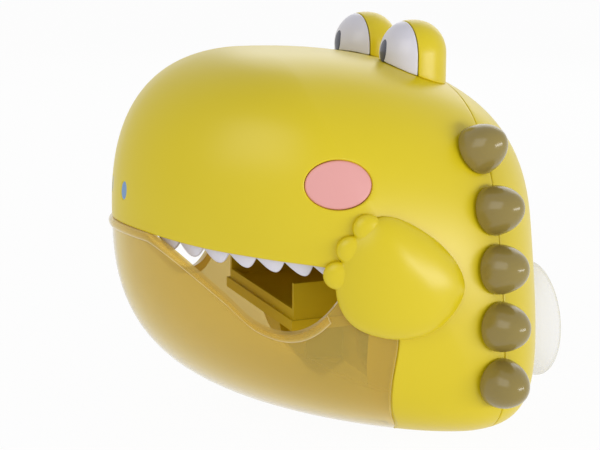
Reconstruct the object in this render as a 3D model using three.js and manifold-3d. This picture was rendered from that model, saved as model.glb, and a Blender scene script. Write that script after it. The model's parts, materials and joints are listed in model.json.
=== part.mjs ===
// Bath bubble machine shaped as an animal's head, in millimetres.
// +Z is up, the snout points to -Y, the wall side with the suction cup is +Y.
// The origin is at floor height, in the middle of the length and the width.
import * as THREE from 'three';
import { mergeVertices } from 'three/addons/utils/BufferGeometryUtils.js';
import Module from 'manifold-3d';

const wasm = await Module();
wasm.setup();

// Driving sizes of the head
const noseY = -84.9;
const backY = 69.6;
const topZ = 137.6;
const keelZ = -1.1;
const halfWidth = 74;
const noseHeight = 75.7;
const backHeight = 73;
const wideHeight = 35;
const axisTopY = -31.1;
const axisLowY = 29.6;
const seamY = 35.1;
const wall = 2.2;
const gap = 0.3;
const runningGap = 0.08;
const overrun = 12;

// Powers of the head's curves, plain numbers without a unit
const nosePowers = { above: 2.6, below: 2.4, across: 1.8, along: 1.5 };
const backPowers = { above: 2.45, below: 3.5, plan: 2.5 };
const sidePowers = { above: 3.1, below: 4 };
const headFacets = { rows: 14, around: 36 };
const lining = { rows: 10, around: 24 };
const facets = { tiny: 6, small: 8, medium: 10, dome: 12, large: 16, cup: 20 };

// Eyes, cheeks and nostrils
const eyeRadius = 12.2;
const eyeX = 20.9;
const eyeY = 22.35;
const eyeRise = 10.7;
const eyeTop = topZ + eyeRise;
const eyeSplit = 3.4;
const eyeWall = 2;
const eyePower = 0.9;
const eyeSpigotRadius = 4.5;
const eyeSpigotDepth = 3.8;
const pupil = { halfWidth: 2.4, halfHeight: 3.9, drop: 10.8, thick: 1 };
const cheek = { y: -26.2, z: 98.6, halfLength: 11.3, halfHeight: 8.2, sunk: 0.45, flange: 1.4 };
const nostril = { x: 7.4, z: 90.4, halfWidth: 1.95, halfHeight: 3.3, sunk: 0.2, flange: 1.2 };

// Button travel and the switch behind it, measured inwards from the head's skin
const buttonTravel = 1.2;
const buttonFlangeTop = 3.6;
const buttonFlangeThick = 0.8;
const buttonStem = { radius: 2, length: 2 };
const tact = { half: 3, body: 3, plungerRadius: 1.5, plunger: 0.6 };
const boot = { outer: 6, inner: 4.7, height: 5.3 };
const bracket = { halfLength: 16, halfHeight: 6, thick: 1.6, arm: 3 };

// Spikes along the seam
const spikes = {
  count: 5, topZ: 104.9, pitch: 19.85, radius: 8.8, lift: 0.4, height: 13.6, power: 1.9,
  neck: 3.5, neckInside: 0.8, ahead: 2.8, topAhead: 2.8,
};
const spikeStrip = { bulkheadGap: 0.4, thick: 1.8 };
// How far the flat facets of the lining lie inside its curve
const facetDrop = 0.9;

// Side paws
const paw = { rise: 7.5, edge: 1.6, finger: 5, fingerRise: 3.6 };
const padPowers = { along: 2.4, up: 0.6 };
const pawOutline = [
  [-9.6, 87.6], [-21.2, 82.2], [-27.1, 64.8], [-21.2, 50.2],
  [-6.5, 44.6], [7.5, 48.5], [17.1, 61.7], [8.9, 76.4],
];
const pawFingers = [[-17.6, 84], [-22.6, 76.8], [-26.2, 68]];

// Mouth: the lip and the seam under the paw, then the tank's rim, in the side view
const lipLine = [
  [-94.4, 80.3], [-83.4, 78.3], [-66.4, 74.9], [-47.4, 72.4], [-29.4, 70], [-16.4, 66.2],
  [-7.9, 57], [-4.9, 44], [-5.4, 26], [-3.4, 15.2], [2.1, 6.5], [9.6, -4],
];
const rimLine = [
  [-78.9, 77.3], [-74, 73.1], [-66.4, 65.6], [-58.6, 57.8], [-51, 49.6], [-45.4, 46.3],
  [-40.4, 45.2], [-35.4, 46.4], [-30.4, 50.5], [-25.4, 58], [-20.4, 67.5],
];
const bead = { out: 1.3, high: 3, endY: -28.4 };
const teeth = {
  pitch: 10.24, firstNotchX: 30.6, drop: 5.2, root: 1, archPower: 0.8, hidden: 4, thick: 1.8, endY: -27,
};

// Inner wall between the wet mouth and the dry back
const bulkheadY = 25;
const bulkheadThick = 2;
const bulkheadBack = bulkheadY + bulkheadThick;

// Tank trough under the wand wheel
const trough = { halfWidth: 44, rearGap: 0.4, height: 33 };
const troughRearY = bulkheadY - trough.rearGap;

// Wand wheel, its axle and the bubble stream
const wheel = { y: 17, z: 41, thick: 5, pitchRadius: 19, ringOuter: 12.5, ringInner: 8.25, rings: 4, seat: 0.7 };
const wheelHub = wheel.pitchRadius - wheel.ringOuter + wheel.seat;
const wheelReach = wheel.pitchRadius + wheel.ringOuter;
const axleRadius = 1.5;
const axleFrontY = 12.5;
const axleBoss = { radius: 6, front: 3.7, back: 2.5, sealRadius: 4.2 };
const nozzle = { outer: 9.5, inner: 8, front: 3.6 };
const chute = { sideGap: 2.8, frontY: -29.5, low: 44.3, top: 57.6, thick: 1.6, lip: 3.6, slot: 1.5 };
const chuteHem = { out: 1.2, high: 3.9 };

// Gear train
const gearModule = 1;
const smallTeeth = 8;
const largeTeeth = 32;
const wheelTeeth = 16;
const toothThin = 0.78;
const addendum = 0.7;
const dedendum = 0.95;
const wheelPlane = { y: 30, thick: 3 };
const secondPlane = { y: 33.4, thick: 2.4 };
const firstPlane = { y: 36.2, thick: 2 };
const pinRadius = 1;
const pinSocket = { radius: 3, length: 2.4 };
const gearCover = { y: 38.6, thick: 1.8, margin: 6 };
const trainTurns = { second: 235, first: 170 };
const coverPost = { secondX: 15.5, secondZ: -19, firstX: -19, firstZ: -12, motorX: 4, motorZ: 17 };

// Batteries, and the motors and the blower in the room beside them
const cell = { radius: 7.25, length: 50.5, nubRadius: 2.6, nub: 1, pitch: 15 };
const bay = { y: 50.9, low: 45.5, high: 99.1, halfWidth: 22.7, thick: 1.5, frontY: 41.7 };
const bayOuter = bay.halfWidth + bay.thick;
const sideRoom = halfWidth - bayOuter;
const canRadiusShare = 0.245;
const canLengthShare = 0.247;
const can = { radius: sideRoom * canRadiusShare, length: sideRoom * canLengthShare, bossRadius: 3.4, boss: 1 };
const motorGap = 1.65;
const motorX = -(bayOuter + motorGap + can.radius);
const blowerRadiusShare = 0.3815;
const blower = {
  x: bayOuter + can.radius + 2 * gap, z: 52, radius: sideRoom * blowerRadiusShare,
  frontY: 30, backY: 40.9, thick: 1.5, duct: 9, inlet: 9,
};
const impeller = { rim: 3.5, hub: 3, blades: 8, bladeThick: 1.2, disc: 1.2, clear: 1.2 };
const impellerRadius = blower.radius - impeller.rim;
const door = { halfWidth: 22.2, low: 48.6, high: 98.4, sealThick: 0.8, sealBand: 2.4 };
const doorScrew = { z: 52, length: 7, radius: 1.1, head: 2.4, headThick: 1.4 };
const contact = { thick: 0.5, pad: 2.2 };
const board = { x: 8, z: 100, width: 36, height: 24, thick: 1.6, standOff: 2.2 };

// Suction cup
const cup = { faceY: 87.6, z: 24.6, radius: 23.4, rim: 2.2, depth: 4.8, lip: 0.9, flare: 5, skirt: 8.6 };
const cupStud = { shoulder: 8, neck: 4, head: 6.2, headThick: 2.2, tip: 0.8 };

// Screws that join the two shells
const caseScrew = { radius: 1.3, head: 2.7, headThick: 1.8, length: 16, boss: 4, counterbore: 3.2, seatY: 44 };
const caseScrewLow = { widthShare: 0.6216, z: 12 };
const caseScrewHigh = { besideBay: 1.6, z: 94 };
const gearScrew = { radius: 1, head: 2, headThick: 1.2, length: 8, post: 3 };
const wire = { radius: 1.1, run: 5, sides: 6, steps: 12 };

// Colours and finishes
function plastic(color, roughness, extra = {}) {
  return new THREE.MeshStandardMaterial({ color, roughness, metalness: 0, ...extra });
}
const finish = {
  yellow: plastic(0xdecb30, 0.42),
  amber: plastic(0xa8862c, 0.18, { transparent: true, opacity: 0.55 }),
  white: plastic(0xeceaf2, 0.3),
  dark: plastic(0x3d3f4e, 0.25),
  pink: plastic(0xe8aca8, 0.45),
  blue: plastic(0x7f9fc6, 0.4),
  olive: plastic(0x877640, 0.2),
  clear: plastic(0xf4f4f4, 0.1, { transparent: true, opacity: 0.35 }),
  inner: plastic(0xd9c428, 0.5),
  wand: plastic(0x8c6a32, 0.3),
  nylon: plastic(0xf0efe8, 0.5),
  rubber: plastic(0x2b2b2d, 0.8),
  black: plastic(0x202124, 0.5),
  board: plastic(0x2f6b3c, 0.6),
  cell: plastic(0x3a3d44, 0.35),
  steel: new THREE.MeshStandardMaterial({ color: 0xb9bcc0, roughness: 0.3, metalness: 1 }),
};

// Solids: a closed three.js geometry becomes a manifold, and back
function toSolid(geometry, matrix = null) {
  let source = geometry.clone();
  source.deleteAttribute('normal');
  source.deleteAttribute('uv');
  if (matrix) source.applyMatrix4(matrix);
  source = mergeVertices(source, 1e-5);
  const index = source.index.array;
  const position = source.attributes.position;
  const kept = [];
  let volume = 0;
  const corner = [0, 1, 2].map(() => new THREE.Vector3());
  for (let i = 0; i < index.length; i += 3) {
    const [a, b, c] = [index[i], index[i + 1], index[i + 2]];
    if (a === b || b === c || a === c) continue;
    kept.push(a, b, c);
    [a, b, c].forEach((vertex, k) => corner[k].fromBufferAttribute(position, vertex));
    volume += corner[0].dot(corner[1].clone().cross(corner[2]));
  }
  if (volume < 0) kept.reverse();
  const mesh = new wasm.Mesh({
    numProp: 3,
    vertProperties: new Float32Array(position.array),
    triVerts: new Uint32Array(kept),
  });
  return new wasm.Manifold(mesh);
}

function toGeometry(solid) {
  const mesh = solid.getMesh();
  const geometry = new THREE.BufferGeometry();
  geometry.setAttribute('position', new THREE.BufferAttribute(mesh.vertProperties, 3));
  geometry.setIndex(new THREE.BufferAttribute(mesh.triVerts, 1));
  geometry.computeVertexNormals();
  return geometry;
}

const assembly = new THREE.Group();

function place(name, solid, material) {
  const mesh = new THREE.Mesh(toGeometry(solid), material);
  mesh.name = name;
  assembly.add(mesh);
}

const join = (first, ...others) => others.reduce((sum, next) => sum.add(next), first);
const cut = (first, ...others) => others.reduce((rest, next) => rest.subtract(next), first);

// A body lofted through rings of equal count, closed at both ends by a tip or the ring's centre
function loft(rings, startTip = null, endTip = null, mirrorDiagonals = false) {
  const count = rings[0].length;
  const centre = (ring) => ring.reduce((sum, p) => sum.add(p), new THREE.Vector3()).divideScalar(count);
  const points = [...rings.flat(), startTip ?? centre(rings[0]), endTip ?? centre(rings[rings.length - 1])];
  const start = points.length - 2;
  const end = points.length - 1;
  const faces = [];
  for (let row = 0; row < rings.length - 1; row += 1) {
    for (let k = 0; k < count; k += 1) {
      const next = (k + 1) % count;
      const a = row * count + k;
      const b = row * count + next;
      const turned = mirrorDiagonals && 4 * k >= count && 4 * k < 3 * count;
      if (turned) faces.push(a, b, a + count, b, b + count, a + count);
      else faces.push(a, b, b + count, a, b + count, a + count);
    }
  }
  const last = (rings.length - 1) * count;
  for (let k = 0; k < count; k += 1) {
    const next = (k + 1) % count;
    faces.push(start, next, k, end, last + k, last + next);
  }
  const geometry = new THREE.BufferGeometry().setFromPoints(points);
  geometry.setIndex(faces);
  return toSolid(geometry);
}

function box(x0, x1, y0, y1, z0, z1) {
  const geometry = new THREE.BoxGeometry(x1 - x0, y1 - y0, z1 - z0);
  geometry.translate((x0 + x1) / 2, (y0 + y1) / 2, (z0 + z1) / 2);
  return toSolid(geometry);
}

// An outline in the side view (Y, Z), extruded along X
function sidePrism(points, x0, x1) {
  const shape = new THREE.Shape(points.map(([y, z]) => new THREE.Vector2(y, z)));
  const geometry = new THREE.ExtrudeGeometry(shape, { depth: x1 - x0, bevelEnabled: false });
  const basis = new THREE.Matrix4().makeBasis(
    new THREE.Vector3(0, 1, 0), new THREE.Vector3(0, 0, 1), new THREE.Vector3(1, 0, 0));
  return toSolid(geometry, basis.setPosition(x0, 0, 0));
}

// An outline in the front view (X, Z), extruded along Y
function frontPrism(shape, y0, y1, at) {
  const settings = { depth: y1 - y0, bevelEnabled: false, curveSegments: facets.small };
  const geometry = new THREE.ExtrudeGeometry(shape, settings);
  const basis = new THREE.Matrix4().makeBasis(
    new THREE.Vector3(1, 0, 0), new THREE.Vector3(0, 0, 1), new THREE.Vector3(0, -1, 0));
  return toSolid(geometry, basis.setPosition(at.x, y1, at.z));
}

// A turned piece about an axis along Y; the profile holds [radius, y] pairs
function turned(x, z, profile, count = facets.medium) {
  const points = profile.map(([radius, y]) => new THREE.Vector2(radius, y));
  const geometry = new THREE.LatheGeometry(points, count);
  return toSolid(geometry, new THREE.Matrix4().makeTranslation(x, 0, z));
}

function rod(x, z, radius, y0, y1, count = facets.medium) {
  return turned(x, z, [[0, y0], [radius, y0], [radius, y1], [0, y1]], count);
}

function tube(x, z, outer, inner, y0, y1, count = facets.medium) {
  return turned(x, z, [[inner, y0], [outer, y0], [outer, y1], [inner, y1], [inner, y0]], count);
}

// The head's skin
const smoothStep = (share) => share * share * (3 - 2 * share);
const clampShare = (value) => Math.min(1, Math.max(0, value));

function narrowing(z, widest, end, power) {
  const share = clampShare(Math.abs((z - widest) / (end - widest)));
  return (1 - share ** power) ** (1 / power);
}

// One level slice of the head, drawn in by the inset
function slice(z, inset) {
  const top = topZ - inset;
  const low = keelZ + inset;
  const nose = noseY + inset;
  const back = backY - inset;
  const axis = axisLowY + (axisTopY - axisLowY) * smoothStep(clampShare((z - low) / (top - low)));
  const front = z >= noseHeight
    ? axisTopY + (nose - axisTopY) * narrowing(z, noseHeight, top, nosePowers.above)
    : axisLowY + (nose - axisLowY) * narrowing(z, noseHeight, low, nosePowers.below);
  const rear = z >= backHeight
    ? axisTopY + (back - axisTopY) * narrowing(z, backHeight, top, backPowers.above)
    : axisLowY + (back - axisLowY) * narrowing(z, backHeight, low, backPowers.below);
  const width = z >= wideHeight
    ? narrowing(z, wideHeight, top, sidePowers.above)
    : narrowing(z, wideHeight, low, sidePowers.below);
  const middle = Math.min(Math.max(axis, front), rear);
  return { front, rear, middle, half: (halfWidth - inset) * width };
}

const signedPower = (value, power) => Math.sign(value) * Math.abs(value) ** power;

// A point of the skin at a height and a turn; a turn of -90 degrees is the snout
function skinPoint(z, turn, inset = 0) {
  const at = slice(z, inset);
  const c = Math.cos(turn);
  const s = Math.sin(turn);
  const inFront = s < 0;
  const reach = inFront ? at.middle - at.front : at.rear - at.middle;
  const across = inFront ? nosePowers.across : backPowers.plan;
  const along = inFront ? nosePowers.along : backPowers.plan;
  return new THREE.Vector3(
    at.half * signedPower(c, 2 / across), at.middle + reach * signedPower(s, 2 / along), z);
}

// How far out the skin is at a side-view place
function skinX(y, z, inset = 0) {
  const at = slice(z, inset);
  const inFront = y < at.middle;
  const reach = inFront ? at.middle - at.front : at.rear - at.middle;
  const across = inFront ? nosePowers.across : backPowers.plan;
  const along = inFront ? nosePowers.along : backPowers.plan;
  const share = clampShare(Math.abs(y - at.middle) / reach);
  return at.half * (1 - share ** along) ** (1 / across);
}

// The outward direction of the skin at a side-view place, on the +X side
function skinNormal(y, z) {
  const step = eyeRadius / 20;
  const dy = (skinX(y + step, z) - skinX(y - step, z)) / (2 * step);
  const dz = (skinX(y, z + step) - skinX(y, z - step)) / (2 * step);
  return new THREE.Vector3(1, -dy, -dz).normalize();
}

function headSolid(inset, grid = headFacets) {
  const low = keelZ + inset;
  const top = topZ - inset;
  const rings = [];
  for (let row = 1; row < grid.rows; row += 1) {
    const z = low + (top - low) * (1 - Math.cos((Math.PI * row) / grid.rows)) / 2;
    const ring = [];
    for (let k = 0; k < grid.around; k += 1) {
      ring.push(skinPoint(z, (2 * Math.PI * k) / grid.around, inset));
    }
    rings.push(ring);
  }
  const tip = (z) => new THREE.Vector3(0, slice(z, inset).middle, z);
  return loft(rings, tip(low), tip(top), true);
}

const farX = halfWidth + overrun;
const aboveTop = eyeTop + overrun;
const belowFloor = keelZ - overrun;
const beyondNose = noseY - overrun;
const beyondCup = cup.faceY + overrun;
const halfSpace = {
  aboveFloor: box(-farX, farX, beyondNose, beyondCup, 0, aboveTop),
  aboveLining: box(-farX, farX, beyondNose, beyondCup, wall, aboveTop),
};
const headOuter = headSolid(0).intersect(halfSpace.aboveFloor);
const headInner = headSolid(wall, lining).intersect(halfSpace.aboveLining);
const liningClear = headSolid(wall + gap, lining);

// Side-view curves of the mouth
function curvePoints(points, steps) {
  const curve = new THREE.SplineCurve(points.map(([a, b]) => new THREE.Vector2(a, b)));
  return curve.getPoints(steps).map((p) => [p.x, p.y]);
}

function offsetLine(points, distance) {
  return points.map(([y, z], i) => {
    const [ay, az] = points[Math.max(0, i - 1)];
    const [by, bz] = points[Math.min(points.length - 1, i + 1)];
    const length = Math.hypot(by - ay, bz - az);
    return [y + ((bz - az) / length) * distance, z - ((by - ay) / length) * distance];
  });
}

const lipPoints = curvePoints(lipLine, 14);
const rimPoints = curvePoints(rimLine, 11);

// Everything below the lip and in front of the seam under the paw
function jawPrism(inset) {
  const edge = offsetLine(lipPoints, inset);
  const [lastY] = edge[edge.length - 1];
  const [, firstZ] = edge[0];
  const outline = [...edge, [lastY, belowFloor], [beyondNose, belowFloor], [beyondNose, firstZ]];
  return sidePrism(outline, -farX, farX);
}

function heightOn(points, y) {
  const next = points.findIndex((p) => p[0] >= y);
  if (next <= 0) return points[0][1];
  const [ay, az] = points[next - 1];
  const [by, bz] = points[next];
  return az + ((bz - az) * (y - ay)) / (by - ay);
}

const lipPart = lipPoints.filter(([, z]) => z > wheel.z + wheel.pitchRadius);
const lipHeight = (y) => heightOn(lipPart, y);

// The lip's path round the snout: one station for each turn, from the left corner to the right
function mouthStations(endY, steps, heightAt) {
  const stations = [];
  for (let i = 0; i <= steps; i += 1) {
    const share = (2 * i) / steps - 1;
    let z = noseHeight;
    let turn = -Math.PI / 2;
    for (let pass = 0; pass < 8; pass += 1) {
      const at = slice(z, 0);
      const endShare = clampShare((at.middle - endY) / (at.middle - at.front));
      const endTurn = Math.acos(endShare ** (nosePowers.along / 2));
      turn = -Math.PI / 2 + share * endTurn;
      z = heightAt(skinPoint(z, turn).y);
    }
    stations.push({ turn, z, point: skinPoint(z, turn) });
  }
  return stations;
}

// Shells
function skinPlace(y, z) {
  return { normal: skinNormal(y, z), foot: new THREE.Vector3(skinX(y, z), y, z) };
}

// Each spike stands ahead of its neck, which passes through the seam
const spikePlaces = Array.from({ length: spikes.count }, (_, i) => {
  const z = spikes.topZ - i * spikes.pitch;
  const ahead = spikes.ahead + (i === 0 ? spikes.topAhead : 0);
  return { neck: skinPlace(seamY, z), dome: skinPlace(seamY - ahead, z) };
});

function mirrored(solid) {
  return toSolid(toGeometry(solid), new THREE.Matrix4().makeScale(-1, 1, 1));
}

function alongNormal(geometry, place3) {
  const turn = new THREE.Quaternion().setFromUnitVectors(new THREE.Vector3(0, 1, 0), place3.normal);
  return toSolid(geometry, new THREE.Matrix4().compose(place3.foot, turn, new THREE.Vector3(1, 1, 1)));
}

function spikeHoles() {
  const depth = spikeStrip.thick + wall;
  const holes = spikePlaces.map((at) => {
    const geometry = new THREE.CylinderGeometry(spikes.neck + gap, spikes.neck + gap, 4 * depth, facets.dome);
    return alongNormal(geometry, at.neck);
  });
  const right = join(...holes);
  return right.add(mirrored(right));
}

// A frame on the skin at the cheek: X along the oval, Y up it, Z outwards
function cheekFrame(side) {
  const normal = skinNormal(cheek.y, cheek.z);
  const centre = new THREE.Vector3(skinX(cheek.y, cheek.z), cheek.y, cheek.z);
  normal.x *= side;
  centre.x *= side;
  const along = new THREE.Vector3(0, 0, 1).cross(normal).normalize();
  const up = normal.clone().cross(along);
  return new THREE.Matrix4().makeBasis(along, up, normal).setPosition(centre);
}

function ovalPrism(a, b, z0, z1, matrix, count = facets.cup) {
  const outline = Array.from({ length: count }, (_, i) => {
    const turn = (2 * Math.PI * i) / count;
    return new THREE.Vector2(a * Math.cos(turn), b * Math.sin(turn));
  });
  const settings = { depth: z1 - z0, bevelEnabled: false };
  const geometry = new THREE.ExtrudeGeometry(new THREE.Shape(outline), settings);
  geometry.translate(0, 0, z0);
  return toSolid(geometry, matrix);
}

function nostrilFrame(side) {
  const basis = new THREE.Matrix4().makeBasis(
    new THREE.Vector3(1, 0, 0), new THREE.Vector3(0, 0, 1), new THREE.Vector3(0, -1, 0));
  return basis.setPosition(side * nostril.x, 0, nostril.z);
}

const sides = [1, -1];
const cupHole = rod(0, cup.z, cupStud.neck + gap, backY - overrun, cup.faceY);
const lowScrewX = halfWidth * caseScrewLow.widthShare;
const highScrewX = bayOuter + caseScrew.boss + wall + caseScrewHigh.besideBay;
const screwPlaces = [[lowScrewX, caseScrewLow.z], [highScrewX, caseScrewHigh.z]]
  .flatMap(([x, z]) => sides.map((side) => [side * x, z]));

function frontShell() {
  const body = headOuter.intersect(box(-farX, farX, beyondNose, seamY, 0, aboveTop));
  const troughWide = trough.halfWidth + gap + runningGap;
  const middle = box(-troughWide, troughWide, beyondNose, bulkheadY, belowFloor, aboveTop);
  const pocketBack = jawPrism(-wall)
    .intersect(box(-farX, farX, axisTopY + overrun, bulkheadY, 0, wheel.z + wheel.pitchRadius))
    .subtract(middle);
  const pocketSides = sides.map((side) => {
    const near = side * (troughWide - gap);
    const far = side * (troughWide + wall);
    return box(Math.min(near, far), Math.max(near, far), axisTopY, bulkheadY - gap, 0, trough.height + wall);
  });
  const bosses = screwPlaces.map(([x, z]) => {
    const [ribLow, ribHigh] = z > wideHeight ? [z, topZ] : [0, z];
    const rib = box(x - wall / 2, x + wall / 2, bulkheadBack + gap, seamY, ribLow, ribHigh);
    return rod(x, z, caseScrew.boss, bulkheadBack + gap, seamY).add(rib);
  });
  const cavity = cut(headInner, ...bosses, pocketBack, ...pocketSides);
  const mouth = jawPrism(0).add(box(-troughWide, troughWide, axisTopY, bulkheadY, -overrun, trough.height));
  let shell = cut(body, cavity, mouth);
  const drillings = screwPlaces.map(([x, z]) => (
    rod(x, z, caseScrew.radius + runningGap, caseScrew.seatY - caseScrew.length, beyondCup, facets.small)));
  shell = cut(shell, spikeHoles(), ...drillings);
  for (const side of sides) {
    const oval = ovalPrism(cheek.halfLength + gap, cheek.halfHeight + gap, -4 * wall, wall, cheekFrame(side));
    const slot = ovalPrism(
      nostril.halfWidth + gap, nostril.halfHeight + gap, -noseY - 3 * wall, -noseY + wall, nostrilFrame(side));
    shell = cut(shell, oval, slot, eyeSpigot(side, gap));
  }
  return shell;
}

const doorBox = (grow) => box(
  -door.halfWidth - grow, door.halfWidth + grow, backY / 2, beyondCup, door.low - grow, door.high + grow);

function rearShell() {
  const body = headOuter.intersect(box(-farX, farX, seamY + gap / 2, beyondCup, 0, aboveTop));
  const posts = screwPlaces.map(([x, z]) => rod(x, z, caseScrew.boss + wall, seamY + gap / 2, beyondCup));
  const cavity = headInner.subtract(join(...posts));
  const sinks = screwPlaces.map(([x, z]) => join(
    rod(x, z, caseScrew.counterbore, caseScrew.seatY, beyondCup),
    rod(x, z, caseScrew.radius + gap, seamY - overrun, beyondCup, facets.small)));
  return cut(body, cavity, cupHole, doorBox(gap), spikeHoles(), ...sinks);
}

// Tank
function tankSolid() {
  const jawOuter = headOuter.intersect(jawPrism(gap));
  const troughOuter = headOuter.intersect(
    box(-trough.halfWidth, trough.halfWidth, axisTopY, troughRearY, 0, trough.height));
  const innerHalf = trough.halfWidth - wall;
  const troughInner = box(-innerHalf, innerHalf, axisTopY, troughRearY - wall, wall, aboveTop);
  const hollow = headInner.intersect(jawPrism(gap + wall).add(troughInner));
  const [firstY] = rimPoints[0];
  const [lastY] = rimPoints[rimPoints.length - 1];
  const open = sidePrism([...rimPoints, [lastY, aboveTop], [firstY, aboveTop]], -farX, farX);
  const shell = cut(jawOuter.add(troughOuter), hollow, open);
  return shell.add(rimBead().subtract(jawRest()));
}

// The part of the head that the tank's bead must stay clear of: lip and side wall
function jawRest() {
  return box(-farX, farX, beyondNose, beyondCup, 0, aboveTop).subtract(jawPrism(gap));
}

function rimBead() {
  const [firstY, firstZ] = rimPoints[0];
  const rimHeight = (y) => (y <= firstY ? lipHeight(y) - gap - (lipHeight(firstY) - gap - firstZ)
    * clampShare((y - noseY) / (firstY - noseY)) : heightOn(rimPoints, y));
  const lowerShares = [0, 0.3, 0.8, 1, 0];
  const outShares = [0.3, 1, 0.85, -1.3, -1.3];
  const rings = mouthStations(bead.endY, 36, rimHeight).map((at) => (
    lowerShares.map((low, k) => skinPoint(at.z - low * bead.high, at.turn, -outShares[k] * bead.out))));
  return loft(rings);
}

// Teeth: one white strip behind the lip, toothed where the mouth is open
function toothRow() {
  const fine = mouthStations(teeth.endY, 480, lipHeight);
  const middle = (fine.length - 1) / 2;
  const along = [0];
  for (let i = middle + 1; i < fine.length; i += 1) {
    along.push(along[i - middle - 1] + fine[i].point.distanceTo(fine[i - 1].point));
  }
  const firstNotch = along.find((_, i) => fine[middle + i].point.x >= teeth.firstNotchX);
  const start = firstNotch - teeth.pitch;
  const stops = [0, start / 2];
  const samples = 4;
  const length = along[along.length - 1];
  for (let reach = start; reach < length; reach += teeth.pitch / samples) stops.push(reach);
  stops.push(length);
  const offsets = stops.map((reach) => Math.max(0, along.findIndex((value) => value >= reach - gap / 10)));
  const steps = [...offsets.slice(1).reverse().map((offset) => -offset), ...offsets];
  const outer = wall + facetDrop + gap;
  const inner = outer + teeth.thick;
  const rings = steps.map((offset) => {
    const at = fine[middle + offset];
    const reach = along[Math.abs(offset)];
    const phase = (reach - start) / teeth.pitch;
    const toothed = reach > start;
    const arch = Math.abs(Math.sin(Math.PI * phase)) ** teeth.archPower;
    const hang = toothed ? teeth.root + (teeth.drop - teeth.root) * arch : 0;
    const low = toothed ? at.z - hang : at.z + gap;
    const high = at.z + teeth.hidden;
    return [
      skinPoint(high, at.turn, outer), skinPoint(low, at.turn, outer),
      skinPoint(low, at.turn, inner), skinPoint(high, at.turn, inner),
    ];
  });
  return loft(rings);
}

// Eyes
function eyeProfile(inset) {
  const radius = eyeRadius - inset;
  const top = eyeTop - inset;
  const foot = topZ - 2 * eyeRadius;
  const points = [new THREE.Vector2(0, foot), new THREE.Vector2(radius, foot)];
  const steps = inset > 0 ? 3 : 5;
  for (let i = 0; i <= steps; i += 1) {
    const angle = (Math.PI / 2) * (i / steps);
    const out = radius * Math.cos(angle) ** eyePower;
    points.push(new THREE.Vector2(out, top - eyeRadius + eyeRadius * Math.sin(angle)));
  }
  points[points.length - 1].x = 0;
  return points;
}

function eyeBody(side, inset) {
  const geometry = new THREE.LatheGeometry(eyeProfile(inset), facets.large);
  const upright = new THREE.Matrix4().makeRotationX(Math.PI / 2);
  return toSolid(geometry, upright.setPosition(side * eyeX, eyeY, 0));
}

const eyeSplitY = eyeY - eyeSplit;
const skinClear = headSolid(-gap);

function pupilPrism(side, grow, y0, y1) {
  const frame = new THREE.Matrix4().makeBasis(
    new THREE.Vector3(1, 0, 0), new THREE.Vector3(0, 0, 1), new THREE.Vector3(0, -1, 0));
  frame.setPosition(side * eyeX, 0, (eyeTop - pupil.drop));
  return ovalPrism(pupil.halfWidth + grow, pupil.halfHeight + grow, -y1, -y0, frame, facets.medium);
}

// The round foot by which an eye cap sits in the head
function eyeSpigot(side, grow) {
  const y = eyeY + eyeSplit;
  const radius = eyeSpigotRadius + grow;
  const low = headTopAt(side * eyeX, y) - eyeSpigotDepth - grow;
  const upright = new THREE.Matrix4().makeRotationX(Math.PI / 2);
  return toSolid(new THREE.CylinderGeometry(radius, radius, eyeRadius, facets.medium),
    upright.setPosition(side * eyeX, y, low + eyeRadius / 2));
}

function eyePieces(side) {
  const outer = eyeBody(side, 0).subtract(skinClear);
  const lifted = headSolid(-gap - eyeWall);
  const hollow = eyeBody(side, eyeWall).subtract(lifted);
  const frontY = eyeY - eyeRadius - gap;
  const behind = box(-farX, farX, eyeSplitY + gap / 2, beyondCup, 0, aboveTop);
  const ahead = box(-farX, farX, beyondNose, eyeSplitY - gap / 2, 0, aboveTop);
  const spigot = eyeSpigot(side, 0);
  const cap = outer.intersect(behind).subtract(hollow).add(spigot.intersect(behind));
  const pocket = pupilPrism(side, gap, frontY - gap, eyeSplitY).subtract(eyeBody(side, pupil.thick + gap));
  const white = outer.intersect(ahead).subtract(hollow).subtract(pocket);
  const disc = pupilPrism(side, 0, frontY - gap, eyeSplitY)
    .intersect(eyeBody(side, 0)).subtract(eyeBody(side, pupil.thick));
  return { cap, white, disc };
}

// Height of the head's top at a plan place, found by halving
function headTopAt(x, y) {
  let low = wideHeight;
  let high = topZ;
  for (let pass = 0; pass < 30; pass += 1) {
    const middle = (low + high) / 2;
    const at = slice(middle, 0);
    const inside = y > at.front && y < at.rear && skinX(y, middle) > Math.abs(x);
    if (inside) low = middle;
    else high = middle;
  }
  return low;
}

// Cheeks
function cheekPiece(side, withStem) {
  const frame = cheekFrame(side);
  const skin = headSolid(cheek.sunk);
  const plug = ovalPrism(cheek.halfLength, cheek.halfHeight, -buttonFlangeTop - gap, wall, frame);
  const face = plug.intersect(skin);
  const flange = ovalPrism(cheek.halfLength + cheek.flange, cheek.halfHeight + cheek.flange,
    -buttonFlangeTop - buttonFlangeThick, -buttonFlangeTop, frame).intersect(liningClear);
  if (!withStem) return face.add(flange);
  const stemEnd = -buttonFlangeTop - buttonFlangeThick - buttonStem.length;
  const stem = ovalPrism(
    buttonStem.radius, buttonStem.radius, stemEnd, -buttonFlangeTop, frame, facets.small);
  return join(face, flange, stem);
}

const plungerTop = -(buttonFlangeTop + buttonFlangeThick + buttonStem.length + buttonTravel + gap / 2);
const switchTop = plungerTop - tact.plunger;
const switchLow = switchTop - tact.body;

function localBox(frame, halfX, halfY, z0, z1, x = 0) {
  const geometry = new THREE.BoxGeometry(2 * halfX, 2 * halfY, z1 - z0);
  geometry.translate(x, 0, (z0 + z1) / 2);
  return toSolid(geometry, frame);
}

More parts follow.
